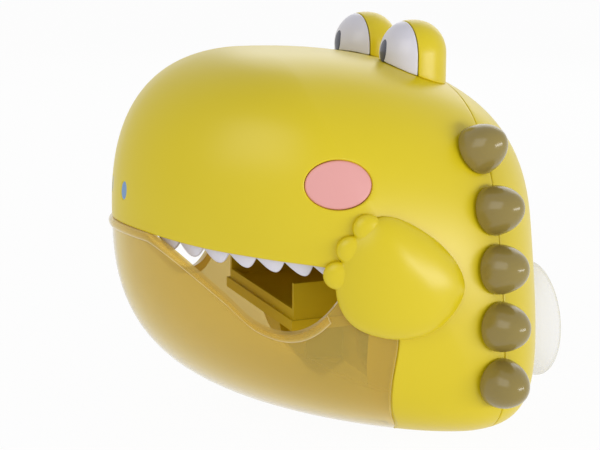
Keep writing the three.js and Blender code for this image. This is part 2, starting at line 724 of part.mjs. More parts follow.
function switchPieces() {
  const frame = cheekFrame(1);
  const tactBody = localBox(frame, tact.half, tact.half, switchLow, switchTop);
  const plunger = ovalPrism(
    tact.plungerRadius, tact.plungerRadius, switchTop - gap, plungerTop, frame, facets.tiny);
  const plateTop = switchLow - gap;
  const plate = localBox(frame, bracket.halfLength, bracket.halfHeight, plateTop - bracket.thick, plateTop);
  const arms = sides.map((side) => localBox(frame, bracket.arm / 2, bracket.halfHeight,
    plateTop - bracket.thick, 0, side * (bracket.halfLength - bracket.arm / 2)));
  const holder = join(plate, ...arms).intersect(liningClear);
  const bootLow = plateTop + gap;
  const ring = ovalPrism(boot.outer, boot.outer, bootLow, bootLow + boot.height, frame, facets.medium)
    .subtract(ovalPrism(boot.inner, boot.inner, plateTop, plateTop + 2 * boot.height, frame, facets.medium));
  return { tactSwitch: tactBody.add(plunger), holder, ring };
}

// Nostrils
function nostrilPiece(side) {
  const frame = nostrilFrame(side);
  const reach = -noseY;
  const deep = headSolid(wall + gap + nostril.flange, lining);
  const { halfWidth: half, halfHeight: high } = nostril;
  const shaft = ovalPrism(half, high, reach - 3 * wall, reach + wall, frame, facets.medium)
    .intersect(headSolid(nostril.sunk));
  const flange = ovalPrism(
    half + nostril.flange, high + nostril.flange, reach - 3 * wall, reach + wall, frame, facets.medium)
    .intersect(liningClear);
  return shaft.add(flange).subtract(deep);
}

// A dome on its own foot, as a lathe profile about Y
function dome({ radius, height, power, lift, steps }) {
  const points = [new THREE.Vector2(0, lift), new THREE.Vector2(radius, lift)];
  for (let i = 1; i <= steps; i += 1) {
    const angle = (Math.PI / 2) * (i / steps);
    points.push(new THREE.Vector2(
      radius * Math.cos(angle) ** (2 / power), lift + (height - lift) * Math.sin(angle) ** (2 / power)));
  }
  points[points.length - 1].x = 0;
  return new THREE.LatheGeometry(points, facets.dome);
}

// Paws: a domed pad with three fingertips, lying on the skin
function pawSolid(side) {
  const outline = [...pawOutline, pawOutline[0]];
  const curve = new THREE.SplineCurve(outline.map(([y, z]) => new THREE.Vector2(y, z)));
  const edge = curve.getPoints(20).slice(0, -1);
  const centre = new THREE.Vector2();
  edge.forEach((p) => centre.add(p));
  centre.divideScalar(edge.length);
  const ring = (share, rise) => edge.map((p) => {
    const y = centre.x + (p.x - centre.x) * share;
    const z = centre.y + (p.y - centre.y) * share;
    return new THREE.Vector3(skinX(y, z) + rise, y, z);
  });
  const rings = [ring(0.55, 2 * gap), ring(1, gap), ring(1, gap + paw.edge)];
  for (const share of [0.94, 0.78, 0.48]) {
    const swell = (1 - share ** padPowers.along) ** padPowers.up;
    rings.push(ring(share, gap + paw.edge + (paw.rise - paw.edge) * swell));
  }
  const middle = (rise) => new THREE.Vector3(skinX(centre.x, centre.y) + rise, centre.x, centre.y);
  let pad = loft(rings, middle(2 * gap), middle(gap + paw.rise));
  for (const [y, z] of pawFingers) {
    const tip = dome({ radius: paw.finger, height: paw.fingerRise, power: 2, lift: 0, steps: 3 });
    pad = pad.add(alongNormal(tip, {
      foot: new THREE.Vector3(skinX(y, z) + gap, y, z), normal: skinNormal(y, z),
    }));
  }
  return side > 0 ? pad : mirrored(pad);
}

// Spike strips: five spikes on one band that the two shells clamp at their seam
function spikeStripSolid(side) {
  const depth = wall + facetDrop + gap + spikeStrip.thick * 0.8;
  const neckTop = spikes.lift + spikes.neckInside;
  const cones = spikePlaces.map((at) => {
    const neck = new THREE.CylinderGeometry(spikes.neck, spikes.neck, neckTop + depth, facets.dome);
    neck.translate(0, (neckTop - depth) / 2, 0);
    return alongNormal(dome({ ...spikes, steps: 4 }), at.dome).add(alongNormal(neck, at.neck));
  });
  const reach = spikes.neck + spikeStrip.thick;
  const rows = 7;
  const top = spikes.topZ + reach;
  const low = spikes.topZ - (spikes.count - 1) * spikes.pitch - reach;
  const rings = [];
  for (let i = 0; i <= rows; i += 1) {
    const z = low + ((top - low) * i) / rows;
    const at = (y, inset) => new THREE.Vector3(skinX(y, z, inset), y, z);
    const near = bulkheadBack + spikeStrip.bulkheadGap;
    const far = 2 * seamY - near;
    const outer = wall + facetDrop + gap;
    const inner = outer + spikeStrip.thick;
    const outside = [near, seamY, far].map((y) => at(y, outer));
    const inside = [far, seamY, near].map((y) => at(y, inner));
    rings.push([...outside, ...inside]);
  }
  const strip = join(loft(rings).intersect(liningClear), ...cones);
  return side > 0 ? strip : mirrored(strip);
}

// Suction cup
function suctionCup() {
  const { shoulder, neck, head, headThick, tip } = cupStud;
  const skinBack = slice(cup.z + shoulder, 0).rear;
  const inside = slice(cup.z - head, wall + facetDrop).rear - gap;
  const profile = [
    [0, inside - headThick - tip], [head, inside - headThick], [head, inside],
    [neck, inside], [neck, skinBack + gap], [shoulder, skinBack + gap],
    [shoulder, cup.faceY - cup.skirt], [cup.radius * 0.7, cup.faceY - cup.flare],
    [cup.radius, cup.faceY - cup.lip], [cup.radius, cup.faceY], [cup.radius - cup.rim, cup.faceY],
    [cup.radius * 0.5, cup.faceY - cup.depth * 0.75], [0, cup.faceY - cup.depth],
  ];
  return turned(0, cup.z, profile, facets.cup);
}

// Gears
const gearRadius = (count) => (count * gearModule) / 2;

function gearShape(count, phase, bore) {
  const pitch = (2 * Math.PI) / count;
  const radius = gearRadius(count);
  const root = radius - dedendum * gearModule;
  const tip = radius + addendum * gearModule;
  const rootHalf = (pitch / 4) * toothThin * 1.35;
  const tipHalf = (pitch / 4) * toothThin * 0.6;
  const points = [];
  for (let tooth = 0; tooth < count; tooth += 1) {
    const centre = phase + tooth * pitch;
    for (const [out, turn] of [[root, -rootHalf], [tip, -tipHalf], [tip, tipHalf], [root, rootHalf]]) {
      points.push(new THREE.Vector2(out * Math.cos(centre + turn), out * Math.sin(centre + turn)));
    }
  }
  const shape = new THREE.Shape(points);
  const hole = new THREE.Path();
  const reach = bore / Math.cos(Math.PI / facets.small);
  for (let i = 0; i <= facets.small; i += 1) {
    const turn = (-2 * Math.PI * i) / facets.small;
    const corner = [reach * Math.cos(turn), reach * Math.sin(turn)];
    if (i === 0) hole.moveTo(...corner);
    else hole.lineTo(...corner);
  }
  shape.holes.push(hole);
  return shape;
}

function gearSolid(at, count, phase, plane, bore) {
  return frontPrism(gearShape(count, phase, bore), plane.y, plane.y + plane.thick, at);
}

// The tooth turn of a driven gear that meshes with one already placed
function meshTurn(direction, phase, count, otherCount) {
  const pitch = (2 * Math.PI) / count;
  const otherPitch = (2 * Math.PI) / otherCount;
  return direction + Math.PI - otherPitch * ((phase - direction) / pitch) + otherPitch / 2;
}

function stepFrom(at, degrees, teethA, teethB) {
  const distance = gearRadius(teethA) + gearRadius(teethB);
  const turn = THREE.MathUtils.degToRad(degrees);
  return { x: at.x + distance * Math.cos(turn), z: at.z + distance * Math.sin(turn), turn };
}

const wheelCentre = { x: 0, z: wheel.z };
const secondCentre = stepFrom(wheelCentre, trainTurns.second, wheelTeeth, smallTeeth);
const firstCentre = stepFrom(secondCentre, trainTurns.first, largeTeeth, smallTeeth);
const motorTurn = THREE.MathUtils.radToDeg(
  Math.acos((motorX - firstCentre.x) / (gearRadius(largeTeeth) + gearRadius(smallTeeth))));
const motorCentre = stepFrom(firstCentre, motorTurn, largeTeeth, smallTeeth);
const secondSmallPhase = meshTurn(secondCentre.turn, 0, wheelTeeth, smallTeeth);
const firstSmallPhase = meshTurn(firstCentre.turn, 0, largeTeeth, smallTeeth);
const pinionPhase = meshTurn(motorCentre.turn, 0, largeTeeth, smallTeeth);

function gearTrain() {
  const pinBore = pinRadius + runningGap;
  const wheelGear = gearSolid(wheelCentre, wheelTeeth, 0, wheelPlane, axleRadius + runningGap);
  const bridge = (at, low, high) => tube(at.x, at.z, gearRadius(smallTeeth) - gearModule, pinBore,
    low.y + low.thick / 2, high.y + high.thick / 2);
  const second = join(
    gearSolid(secondCentre, smallTeeth, secondSmallPhase, wheelPlane, pinBore),
    bridge(secondCentre, wheelPlane, secondPlane), gearSolid(secondCentre, largeTeeth, 0, secondPlane, pinBore));
  const first = join(
    gearSolid(firstCentre, smallTeeth, firstSmallPhase, secondPlane, pinBore),
    bridge(firstCentre, secondPlane, firstPlane), gearSolid(firstCentre, largeTeeth, 0, firstPlane, pinBore));
  const shaftEnd = gearCover.y + gearCover.thick + can.boss;
  const pinion = gearSolid(motorCentre, smallTeeth, pinionPhase, firstPlane, pinRadius / 2)
    .add(rod(motorCentre.x, motorCentre.z, pinRadius, firstPlane.y, shaftEnd, facets.small));
  return { wheelGear, second, first, pinion };
}

// Posts that carry the gear cover
const coverPosts = [
  { x: secondCentre.x + coverPost.secondX, z: secondCentre.z + coverPost.secondZ },
  { x: firstCentre.x + coverPost.firstX, z: firstCentre.z + coverPost.firstZ },
  { x: motorCentre.x + coverPost.motorX, z: motorCentre.z + coverPost.motorZ },
];

// Bulkhead: a flat wall that follows the inside of the shell
function bulkhead() {
  const slab = headSolid(wall + gap, lining)
    .intersect(box(-farX, farX, bulkheadY, bulkheadBack, wall + gap, aboveTop));
  const bossFront = rod(0, wheel.z, axleBoss.radius, bulkheadY - axleBoss.front, bulkheadBack + axleBoss.back);
  const nozzleZ = wheel.z + wheel.pitchRadius;
  const spout = rod(0, nozzleZ, nozzle.outer, bulkheadY - nozzle.front, bulkheadBack);
  const sockets = [secondCentre, firstCentre].map((at) => (
    rod(at.x, at.z, pinSocket.radius, bulkheadBack - gap, bulkheadBack + pinSocket.length, facets.small)));
  const posts = coverPosts.map((at) => rod(
    at.x, at.z, gearScrew.post, bulkheadBack - gap, gearCover.y - gap, facets.small));
  const boardPosts = sides.map((side) => (
    rod(board.x + side * board.width * 0.4, board.z, gearScrew.post, bulkheadBack - gap,
      bulkheadBack + board.standOff, facets.small)));
  const drillings = [
    rod(0, wheel.z, axleRadius + runningGap, bulkheadY - overrun, bulkheadBack + overrun),
    rod(0, wheel.z, axleBoss.sealRadius, bulkheadBack, bulkheadBack + overrun),
    rod(0, nozzleZ, nozzle.inner, bulkheadY - overrun, bulkheadBack + overrun),
    ...[secondCentre, firstCentre].map((at) => (
      rod(at.x, at.z, pinRadius + runningGap, bulkheadBack, bulkheadBack + overrun, facets.small))),
    ...coverPosts.map((at) => (
      rod(at.x, at.z, gearScrew.radius + runningGap, gearCover.y - gearScrew.length, gearCover.y, facets.small))),
  ];
  const walls = join(slab, bossFront, spout, ...sockets, ...posts, ...boardPosts);
  return cut(walls, ...drillings, ...sides.map((side) => eyeSpigot(side, gap)));
}

// Chute: an open channel round the wheel that leads the bubbles forward
function bubbleChute() {
  const half = wheelReach + chute.sideGap;
  const back = bulkheadY - gap;
  const innerHalf = half - chute.thick;
  const slotFront = wheel.y - wheel.thick / 2 - chute.slot;
  const channel = cut(box(-half, half, chute.frontY, back, chute.low, chute.top),
    box(-innerHalf, innerHalf, chute.frontY + chute.thick, back + overrun, chute.low + chute.thick,
      chute.top + overrun),
    box(-innerHalf, innerHalf, chute.frontY - overrun, chute.frontY + 2 * chute.thick, chute.low + chute.lip,
      chute.top + overrun),
    box(-innerHalf, innerHalf, slotFront, back + overrun, chute.low - overrun, chute.top + overrun));
  const hemHalf = half + chuteHem.out;
  const hemFront = chute.frontY - chuteHem.out;
  const hemLow = chute.low - chuteHem.high;
  const hem = cut(box(-hemHalf, hemHalf, hemFront, back, hemLow, chute.low),
    box(-innerHalf, innerHalf, hemFront + chuteHem.out + chute.thick, back + overrun, hemLow - overrun,
      chute.low + overrun));
  return channel.add(hem);
}

// Wand wheel: rings on a hub, each dips into the tank in turn
function wandWheel() {
  const front = wheel.y - wheel.thick / 2;
  const back = wheel.y + wheel.thick / 2;
  let body = rod(0, wheel.z, wheelHub, front, back);
  for (let i = 0; i < wheel.rings; i += 1) {
    const turn = (2 * Math.PI * i) / wheel.rings;
    const x = wheel.pitchRadius * Math.cos(turn);
    const z = wheel.z + wheel.pitchRadius * Math.sin(turn);
    body = body.add(tube(x, z, wheel.ringOuter, wheel.ringInner, front, back, facets.large));
  }
  return body.subtract(rod(0, wheel.z, axleRadius + runningGap, front - overrun, back + overrun));
}

// Motors
function motorCan(x, z, frontY) {
  const body = join(rod(x, z, can.radius, frontY, frontY + can.length, facets.large),
    rod(x, z, can.bossRadius, frontY + can.length - gap, frontY + can.length + can.boss, facets.small));
  return body.subtract(rod(x, z, pinRadius + runningGap, frontY - overrun, frontY + can.length / 2, facets.small));
}

// Blower
function blowerHousing() {
  const nozzleZ = wheel.z + wheel.pitchRadius;
  const half = blower.duct;
  const back = blower.backY;
  const drum = rod(blower.x, blower.z, blower.radius, blower.frontY, back, facets.cup);
  const duct = box(-half, blower.x, blower.frontY, back, nozzleZ - half, nozzleZ + half);
  const spout = rod(0, nozzleZ, nozzle.outer - nozzle.outer / 12, bulkheadBack + gap, blower.frontY + gap);
  const inner = half - blower.thick;
  const front = blower.frontY + blower.thick;
  const hollow = join(rod(blower.x, blower.z, blower.radius - blower.thick, front, back + overrun, facets.cup),
    box(-inner, blower.x, front, back + overrun, nozzleZ - inner, nozzleZ + inner));
  return cut(join(drum, duct, spout), hollow, rod(0, nozzleZ, inner, bulkheadBack, back),
    rod(blower.x, blower.z, blower.inlet, blower.frontY - overrun, front + gap));
}

function blowerLid() {
  const nozzleZ = wheel.z + wheel.pitchRadius;
  const half = blower.duct;
  const low = blower.backY + gap / 2;
  const high = bay.frontY - gap / 2;
  const lid = rod(blower.x, blower.z, blower.radius, low, high, facets.cup)
    .add(box(-half, blower.x, low, high, nozzleZ - half, nozzleZ + half));
  return lid.subtract(rod(blower.x, blower.z, pinRadius + gap, low - overrun, high + overrun));
}

function fanImpeller() {
  const front = blower.frontY + blower.thick + impeller.clear;
  const back = blower.backY - impeller.clear / 2;
  const shaft = rod(blower.x, blower.z, pinRadius, front, bay.frontY + gap + can.length / 3, facets.small);
  let fan = join(shaft, rod(blower.x, blower.z, impeller.hub, front, back, facets.small),
    rod(blower.x, blower.z, impellerRadius, back - impeller.disc, back, facets.large));
  for (let i = 0; i < impeller.blades; i += 1) {
    const blade = new THREE.BoxGeometry(impellerRadius * 0.55, back - front, impeller.bladeThick);
    blade.translate(impellerRadius * 0.7, (front + back) / 2, 0);
    blade.rotateY((2 * Math.PI * i) / impeller.blades);
    blade.translate(blower.x, 0, blower.z);
    fan = fan.add(toSolid(blade));
  }
  return fan;
}

// Gear cover with a shoulder for the motor
function gearCoverPlate() {
  const low = gearCover.y;
  const high = gearCover.y + gearCover.thick;
  const discs = [
    rod(secondCentre.x, secondCentre.z, gearCover.margin, low, high),
    rod(firstCentre.x, firstCentre.z, gearCover.margin, low, high),
    rod(motorCentre.x, motorCentre.z, can.radius, low, high),
    ...coverPosts.map((at) => rod(at.x, at.z, gearScrew.post + gearScrew.radius, low, high)),
  ];
  const web = (a, b) => {
    const length = Math.hypot(b.x - a.x, b.z - a.z);
    const bar = new THREE.BoxGeometry(length, gearCover.thick, gearCover.margin);
    bar.rotateY(-Math.atan2(b.z - a.z, b.x - a.x));
    bar.translate((a.x + b.x) / 2, (low + high) / 2, (a.z + b.z) / 2);
    return toSolid(bar);
  };
  const webs = [web(secondCentre, firstCentre), web(firstCentre, motorCentre), web(secondCentre, coverPosts[0]),
    web(firstCentre, coverPosts[1]), web(motorCentre, coverPosts[2])];
  const holes = [
    ...[secondCentre, firstCentre].map((at) => (
      rod(at.x, at.z, pinRadius + runningGap, low - overrun, high + overrun, facets.small))),
    rod(motorCentre.x, motorCentre.z, pinRadius + gap, low - overrun, high + overrun, facets.small),
    ...coverPosts.map((at) => rod(
      at.x, at.z, gearScrew.radius + gap, low - overrun, high + overrun, facets.small)),
  ];
  return cut(join(...discs, ...webs), ...holes);
}

// Battery bay
function batteryBox() {
  const shell = cut(
    box(-bayOuter, bayOuter, bay.frontY, beyondCup, bay.low - bay.thick, bay.high + bay.thick),
    box(-bay.halfWidth, bay.halfWidth, bay.frontY + bay.thick, beyondCup + overrun, bay.low, bay.high));
  const screwSeat = slice(doorScrew.z, wall).rear - gap;
  const cellBack = bay.y + cell.radius + gap;
  const boss = rod(0, doorScrew.z, doorScrew.radius * 2.4, cellBack, screwSeat, facets.small)
    .add(box(-bay.thick / 2, bay.thick / 2, cellBack, screwSeat, bay.low - bay.thick, doorScrew.z));
  const drilling = rod(0, doorScrew.z, doorScrew.radius + runningGap, cellBack + gap, beyondCup, facets.small);
  return shell.add(boss).intersect(liningClear).subtract(drilling);
}

function batteryCell(index) {
  const x = (index - 1) * cell.pitch;
  const low = (bay.low + bay.high - cell.length) / 2;
  const profile = [[0, 0], [cell.radius, 0], [cell.radius, cell.length - cell.nub],
    [cell.nubRadius, cell.length - cell.nub], [cell.nubRadius, cell.length], [0, cell.length]];
  const points = profile.map(([radius, z]) => new THREE.Vector2(radius, z));
  const geometry = new THREE.LatheGeometry(points, facets.medium);
  const upright = new THREE.Matrix4().makeRotationX(Math.PI / 2).setPosition(x, bay.y, low);
  const flipped = new THREE.Matrix4().makeRotationX(-Math.PI / 2).setPosition(x, bay.y, low + cell.length);
  return toSolid(geometry, index === 1 ? flipped : upright);
}

function contactPlate(atTop) {
  const cellLow = (bay.low + bay.high - cell.length) / 2;
  const seat = atTop ? bay.high - gap : bay.low + gap;
  const inward = atTop ? -1 : 1;
  const face = seat + inward * contact.thick;
  const cellEnd = atTop ? cellLow + cell.length : cellLow;
  const reach = cellEnd - inward * gap;
  const half = bay.halfWidth - gap;
  let plate = box(-half, half, bay.y - contact.pad * 2, bay.y + contact.pad * 2, Math.min(seat, face),
    Math.max(seat, face));
  for (let i = -1; i <= 1; i += 1) {
    const x = i * cell.pitch;
    plate = plate.add(box(x - contact.pad, x + contact.pad, bay.y - contact.pad, bay.y + contact.pad,
      Math.min(seat, reach), Math.max(seat, reach)));
  }
  return plate;
}

function batteryDoor() {
  const plate = headOuter.intersect(doorBox(0)).subtract(headInner);
  const seatZ = doorScrew.z;
  const outer = slice(seatZ, 0).rear;
  return cut(plate,
    rod(0, seatZ, doorScrew.head + gap, outer - doorScrew.headThick, beyondCup, facets.small),
    rod(0, seatZ, doorScrew.radius + gap, backY / 2, beyondCup, facets.small));
}

function doorSeal() {
  const half = door.halfWidth - gap;
  const high = door.high - gap;
  const low = doorScrew.z + doorScrew.radius * 2.4 + gap;
  const band = door.sealBand;
  const ring = cut(box(-half, half, bay.y, beyondCup, low, high),
    box(-half + band, half - band, 0, beyondCup + overrun, low + band, high - band));
  return ring.intersect(liningClear).subtract(headSolid(wall + gap + door.sealThick, lining));
}

function screw(x, z, headY, data) {
  return turned(x, z, [
    [0, headY - data.length], [data.radius, headY - data.length], [data.radius, headY],
    [data.head, headY], [data.head, headY + data.headThick], [0, headY + data.headThick],
  ], facets.small);
}

function controlBoard() {
  const low = bulkheadBack + board.standOff + gap;
  const high = low + board.thick;
  const { x, z, width, height } = board;
  const plate = box(x - width / 2, x + width / 2, low, high, z - height / 2, z + height / 2);
  const chip = box(x - width / 6, x + width / 6, high - gap, high + board.thick, z - height / 5, z + height / 5);
  const socketTop = high + 3 * board.thick;
  const socket = box(x - width / 2, x - width / 3, high - gap, socketTop, z - height / 3, z + height / 3);
  return join(plate, chip, socket);
}

// A wire through a few points, as a round tube
function wireAlong(points) {
  const curve = new THREE.CatmullRomCurve3(points.map(([x, y, z]) => new THREE.Vector3(x, y, z)));
  const shape = new THREE.Shape();
  for (let i = 0; i < wire.sides; i += 1) {
    const turn = (2 * Math.PI * i) / wire.sides;
    const corner = [wire.radius * Math.cos(turn), wire.radius * Math.sin(turn)];
    if (i === 0) shape.moveTo(...corner);
    else shape.lineTo(...corner);
  }
  return toSolid(new THREE.ExtrudeGeometry(shape, {
    steps: wire.steps, extrudePath: curve, bevelEnabled: false,
  }));
}

// Assembly
place('front_shell', frontShell(), finish.yellow);
place('rear_shell', rearShell(), finish.yellow);
place('tank', tankSolid(), finish.amber);
place('tooth_row', toothRow(), finish.white);
for (const side of sides) {
  const hand = side > 0 ? 'left' : 'right';
  const eye = eyePieces(side);
  place(`eye_cap_${hand}`, eye.cap, finish.yellow);
  place(`eye_white_${hand}`, eye.white, finish.white);
  place(`pupil_${hand}`, eye.disc, finish.dark);
  place(`nostril_${hand}`, nostrilPiece(side), finish.blue);
  place(`paw_${hand}`, pawSolid(side), finish.yellow);
  place(`spike_strip_${hand}`, spikeStripSolid(side), finish.olive);
}
place('power_button', cheekPiece(1, true), finish.pink);
place('cheek_inlay', cheekPiece(-1, false), finish.pink);
const switchSet = switchPieces();
place('tact_switch', switchSet.tactSwitch, finish.black);
place('switch_bracket', switchSet.holder, finish.inner);
place('button_boot', switchSet.ring, finish.rubber);
place('suction_cup', suctionCup(), finish.clear);
place('bulkhead', bulkhead(), finish.inner);
place('bubble_chute', bubbleChute(), finish.inner);

place('wand_wheel', wandWheel(), finish.wand);
const axleBack = wheelPlane.y + wheelPlane.thick;
place('wand_axle', rod(0, wheel.z, axleRadius, axleFrontY, axleBack), finish.steel);
place('axle_seal', tube(0, wheel.z, axleBoss.sealRadius - runningGap, axleRadius + runningGap,
  bulkheadBack + runningGap, bulkheadBack + axleBoss.back), finish.rubber);
const train = gearTrain();
place('wheel_gear', train.wheelGear, finish.nylon);
place('second_gear', train.second, finish.nylon);
place('first_gear', train.first, finish.nylon);
place('motor_pinion', train.pinion, finish.nylon);
const pinEnd = gearCover.y + gearCover.thick;
const gearPin = (at) => rod(at.x, at.z, pinRadius, bulkheadBack + gap, pinEnd, facets.small);
place('second_gear_pin', gearPin(secondCentre), finish.steel);
place('first_gear_pin', gearPin(firstCentre), finish.steel);
place('gear_cover', gearCoverPlate(), finish.nylon);
coverPosts.forEach((at, i) => {
  place(`gear_screw_${i + 1}`, screw(at.x, at.z, pinEnd + gap, gearScrew), finish.steel);
});
place('drive_motor', motorCan(motorCentre.x, motorCentre.z, pinEnd + gap), finish.steel);
place('blower_housing', blowerHousing(), finish.inner);
place('blower_lid', blowerLid(), finish.inner);
place('fan_impeller', fanImpeller(), finish.nylon);
place('fan_motor', motorCan(blower.x, blower.z, bay.frontY + gap), finish.steel);

place('battery_box', batteryBox(), finish.inner);
[0, 1, 2].forEach((index) => place(`battery_${index + 1}`, batteryCell(index), finish.cell));
place('contact_plate_top', contactPlate(true), finish.steel);
place('contact_plate_bottom', contactPlate(false), finish.steel);
place('battery_door', batteryDoor(), finish.yellow);
place('door_seal', doorSeal(), finish.rubber);
place('door_screw', screw(0, doorScrew.z, slice(doorScrew.z, 0).rear - doorScrew.headThick + gap / 2, doorScrew),
  finish.steel);
place('control_board', controlBoard(), finish.board);
screwPlaces.forEach(([x, z], i) => {
  place(`case_screw_${i + 1}`, screw(x, z, caseScrew.seatY + gap, caseScrew), finish.steel);
});

const boardFace = bulkheadBack + board.standOff + gap + board.thick + gap;
const leadRun = wire.run;
const motorFace = pinEnd + gap + can.length + gap;
const fanFace = bay.frontY + gap + can.length + gap;
const bayTop = bay.high + bay.thick + gap;
const leadX = bay.halfWidth - cell.radius / 2;
const leadY = bay.frontY + 3 * wire.radius;
const leadZ = bayTop + leadRun;
place('battery_lead', wireAlong([
  [leadX, leadY, bayTop], [leadX, leadY, bayTop + leadRun / 2], [leadX, (leadY + boardFace) / 2, leadZ],
  [leadX, boardFace + leadRun / 2, leadZ], [leadX, boardFace, leadZ],
]), finish.rubber);
const driveTop = motorCentre.z + can.radius - can.bossRadius;
const boardLow = board.z - board.height / 2 + 2 * wire.radius;
const driveEnd = board.x - board.width / 4;
place('drive_lead', wireAlong([
  [motorCentre.x, motorFace, driveTop], [motorCentre.x, motorFace + leadRun / 2, driveTop],
  [motorCentre.x, motorFace - leadRun / 2, driveTop + 2 * leadRun],
  [motorCentre.x + leadRun, boardFace + 2 * leadRun, boardLow - 2 * leadRun],
  [driveEnd - 3 * leadRun, boardFace + leadRun, boardLow - leadRun / 2],
  [driveEnd, boardFace + leadRun / 2, boardLow], [driveEnd, boardFace, boardLow],
]), finish.rubber);
const fanTop = blower.z + can.radius - can.bossRadius;
const fanEnd = board.x + board.width / 3;
place('fan_lead', wireAlong([
  [blower.x, fanFace, fanTop], [blower.x, fanFace + leadRun / 2, fanTop],
  [blower.x, fanFace - leadRun / 2, fanTop + 2 * leadRun],
  [blower.x - leadRun, boardFace + 2 * leadRun, boardLow - 2 * leadRun],
  [fanEnd, boardFace + leadRun / 2, boardLow], [fanEnd, boardFace, boardLow],
]), finish.rubber);

export default assembly;
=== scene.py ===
import json
import math

import bmesh
import bpy
import numpy as np
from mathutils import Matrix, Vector


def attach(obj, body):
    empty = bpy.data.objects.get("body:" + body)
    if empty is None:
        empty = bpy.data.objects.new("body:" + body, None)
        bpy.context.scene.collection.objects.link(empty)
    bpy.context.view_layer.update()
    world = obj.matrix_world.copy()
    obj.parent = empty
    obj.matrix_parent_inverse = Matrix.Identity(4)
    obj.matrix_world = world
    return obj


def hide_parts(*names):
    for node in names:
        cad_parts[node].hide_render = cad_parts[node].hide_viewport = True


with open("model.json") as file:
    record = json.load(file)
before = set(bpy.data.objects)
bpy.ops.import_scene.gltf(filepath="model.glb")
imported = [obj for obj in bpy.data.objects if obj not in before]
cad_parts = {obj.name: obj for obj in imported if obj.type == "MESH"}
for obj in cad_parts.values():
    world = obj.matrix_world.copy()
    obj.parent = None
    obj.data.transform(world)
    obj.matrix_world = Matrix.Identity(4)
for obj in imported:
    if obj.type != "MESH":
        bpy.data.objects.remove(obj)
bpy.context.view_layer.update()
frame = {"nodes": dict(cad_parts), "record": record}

# The sizes of the pieces are in millimetres, and those of the surroundings in metres.
MM = 0.001
scene = bpy.context.scene
scene.view_settings.view_transform = "Standard"


# Camera, at the height and the side from which the head is seen.
# It stands far off with a long lens, so the head keeps its shape.
CAMERA_TARGET = Vector((-11.87, -8.75, 68.16)) * MM
CAMERA_TURN = math.radians(68.25)
CAMERA_RISE = math.radians(12.03)
CAMERA_REACH = 598.7 * MM
CAMERA_LENS = 93.3

towards_camera = Vector((
    math.sin(CAMERA_TURN) * math.cos(CAMERA_RISE),
    -math.cos(CAMERA_TURN) * math.cos(CAMERA_RISE),
    math.sin(CAMERA_RISE)))
camera_data = bpy.data.cameras.new("camera")
camera_data.sensor_width = 36
camera_data.lens = CAMERA_LENS
camera_data.clip_start = 0.01
camera_data.clip_end = 20
camera = bpy.data.objects.new("camera", camera_data)
camera.location = CAMERA_TARGET + towards_camera * CAMERA_REACH
camera.rotation_mode = "QUATERNION"
camera.rotation_quaternion = (-towards_camera).to_track_quat("-Z", "Y")
scene.collection.objects.link(camera)
scene.camera = camera


# White surroundings: a pale floor, a white room and soft lamps.
# The camera and glossy surfaces see them as white. As light they are weaker, so the lamps model the form.
ROOM_LIGHT = 0.42
FLOOR_SIZE, FLOOR_DROP, FLOOR_GREY = 6.0, 0.0002, 0.93
FLOOR_LIGHT, FLOOR_BOUNCE = 0.96, 0.5
LAMPS = [
    # name, place, width and height in metres, power in watts
    ("lamp_key", (0.55, -0.75, 0.6), 0.7, 0.7, 2.6),
    ("lamp_side", (0.8, 0.5, 0.1), 0.7, 0.16, 3.2),
    ("lamp_back", (-0.8, 0.6, 0.7), 0.9, 0.9, 2.4),
]


class Signal:
    """An output of a shader's nodes. Arithmetic on it adds Math nodes."""

    def __init__(self, paint, socket):
        self.paint = paint
        self.socket = socket

    def maths(self, kind, other):
        return self.paint.node("Math", {0: self, 1: other}, {"operation": kind})

    def __add__(self, other):
        return self.maths("ADD", other)

    __radd__ = __add__

    def __mul__(self, other):
        return self.maths("MULTIPLY", other)

    __rmul__ = __mul__

    def __sub__(self, other):
        return self.maths("SUBTRACT", other)


class Paint:
    """A tree of shader nodes under construction."""

    def __init__(self, tree):
        self.tree = tree
        tree.nodes.clear()

    def node(self, kind, inputs=None, settings=None, out=0):
        """Adds a node: its settings first, then the values or links of its sockets."""
        made = self.tree.nodes.new("ShaderNode" + kind)
        for key, value in (settings or {}).items():
            setattr(made, key, value)
        for key, value in (inputs or {}).items():
            if isinstance(value, Signal):
                self.tree.links.new(value.socket, made.inputs[key])
            else:
                made.inputs[key].default_value = value
        return Signal(self, made.outputs[out]) if made.outputs else None

    def noise(self, scale, detail=2.0, roughness=0.5):
        """Noise that is fixed to the piece."""
        place = self.node("TexCoord", out="Object")
        return self.node("TexNoise", {
            "Vector": place, "Scale": scale, "Detail": detail, "Roughness": roughness})


def new_material(name):
    material = bpy.data.materials.new(name)
    material.use_nodes = True
    return material, Paint(material.node_tree)


def seen_directly(paint):
    """One for the rays of the camera, of gloss and of clear plastic, and zero for light itself."""
    rays = [paint.node("LightPath", out=f"Is {kind} Ray") for kind in ("Camera", "Glossy", "Transmission")]
    return paint.node("Clamp", {"Value": rays[0] + rays[1] + rays[2]})


world = bpy.data.worlds.new("room")
scene.world = world
world.use_nodes = True
room = Paint(world.node_tree)
room_glow = room.node("Background", {
    "Color": (1, 1, 1, 1), "Strength": ROOM_LIGHT + (1 - ROOM_LIGHT) * seen_directly(room)})
room.node("OutputWorld", {"Surface": room_glow})

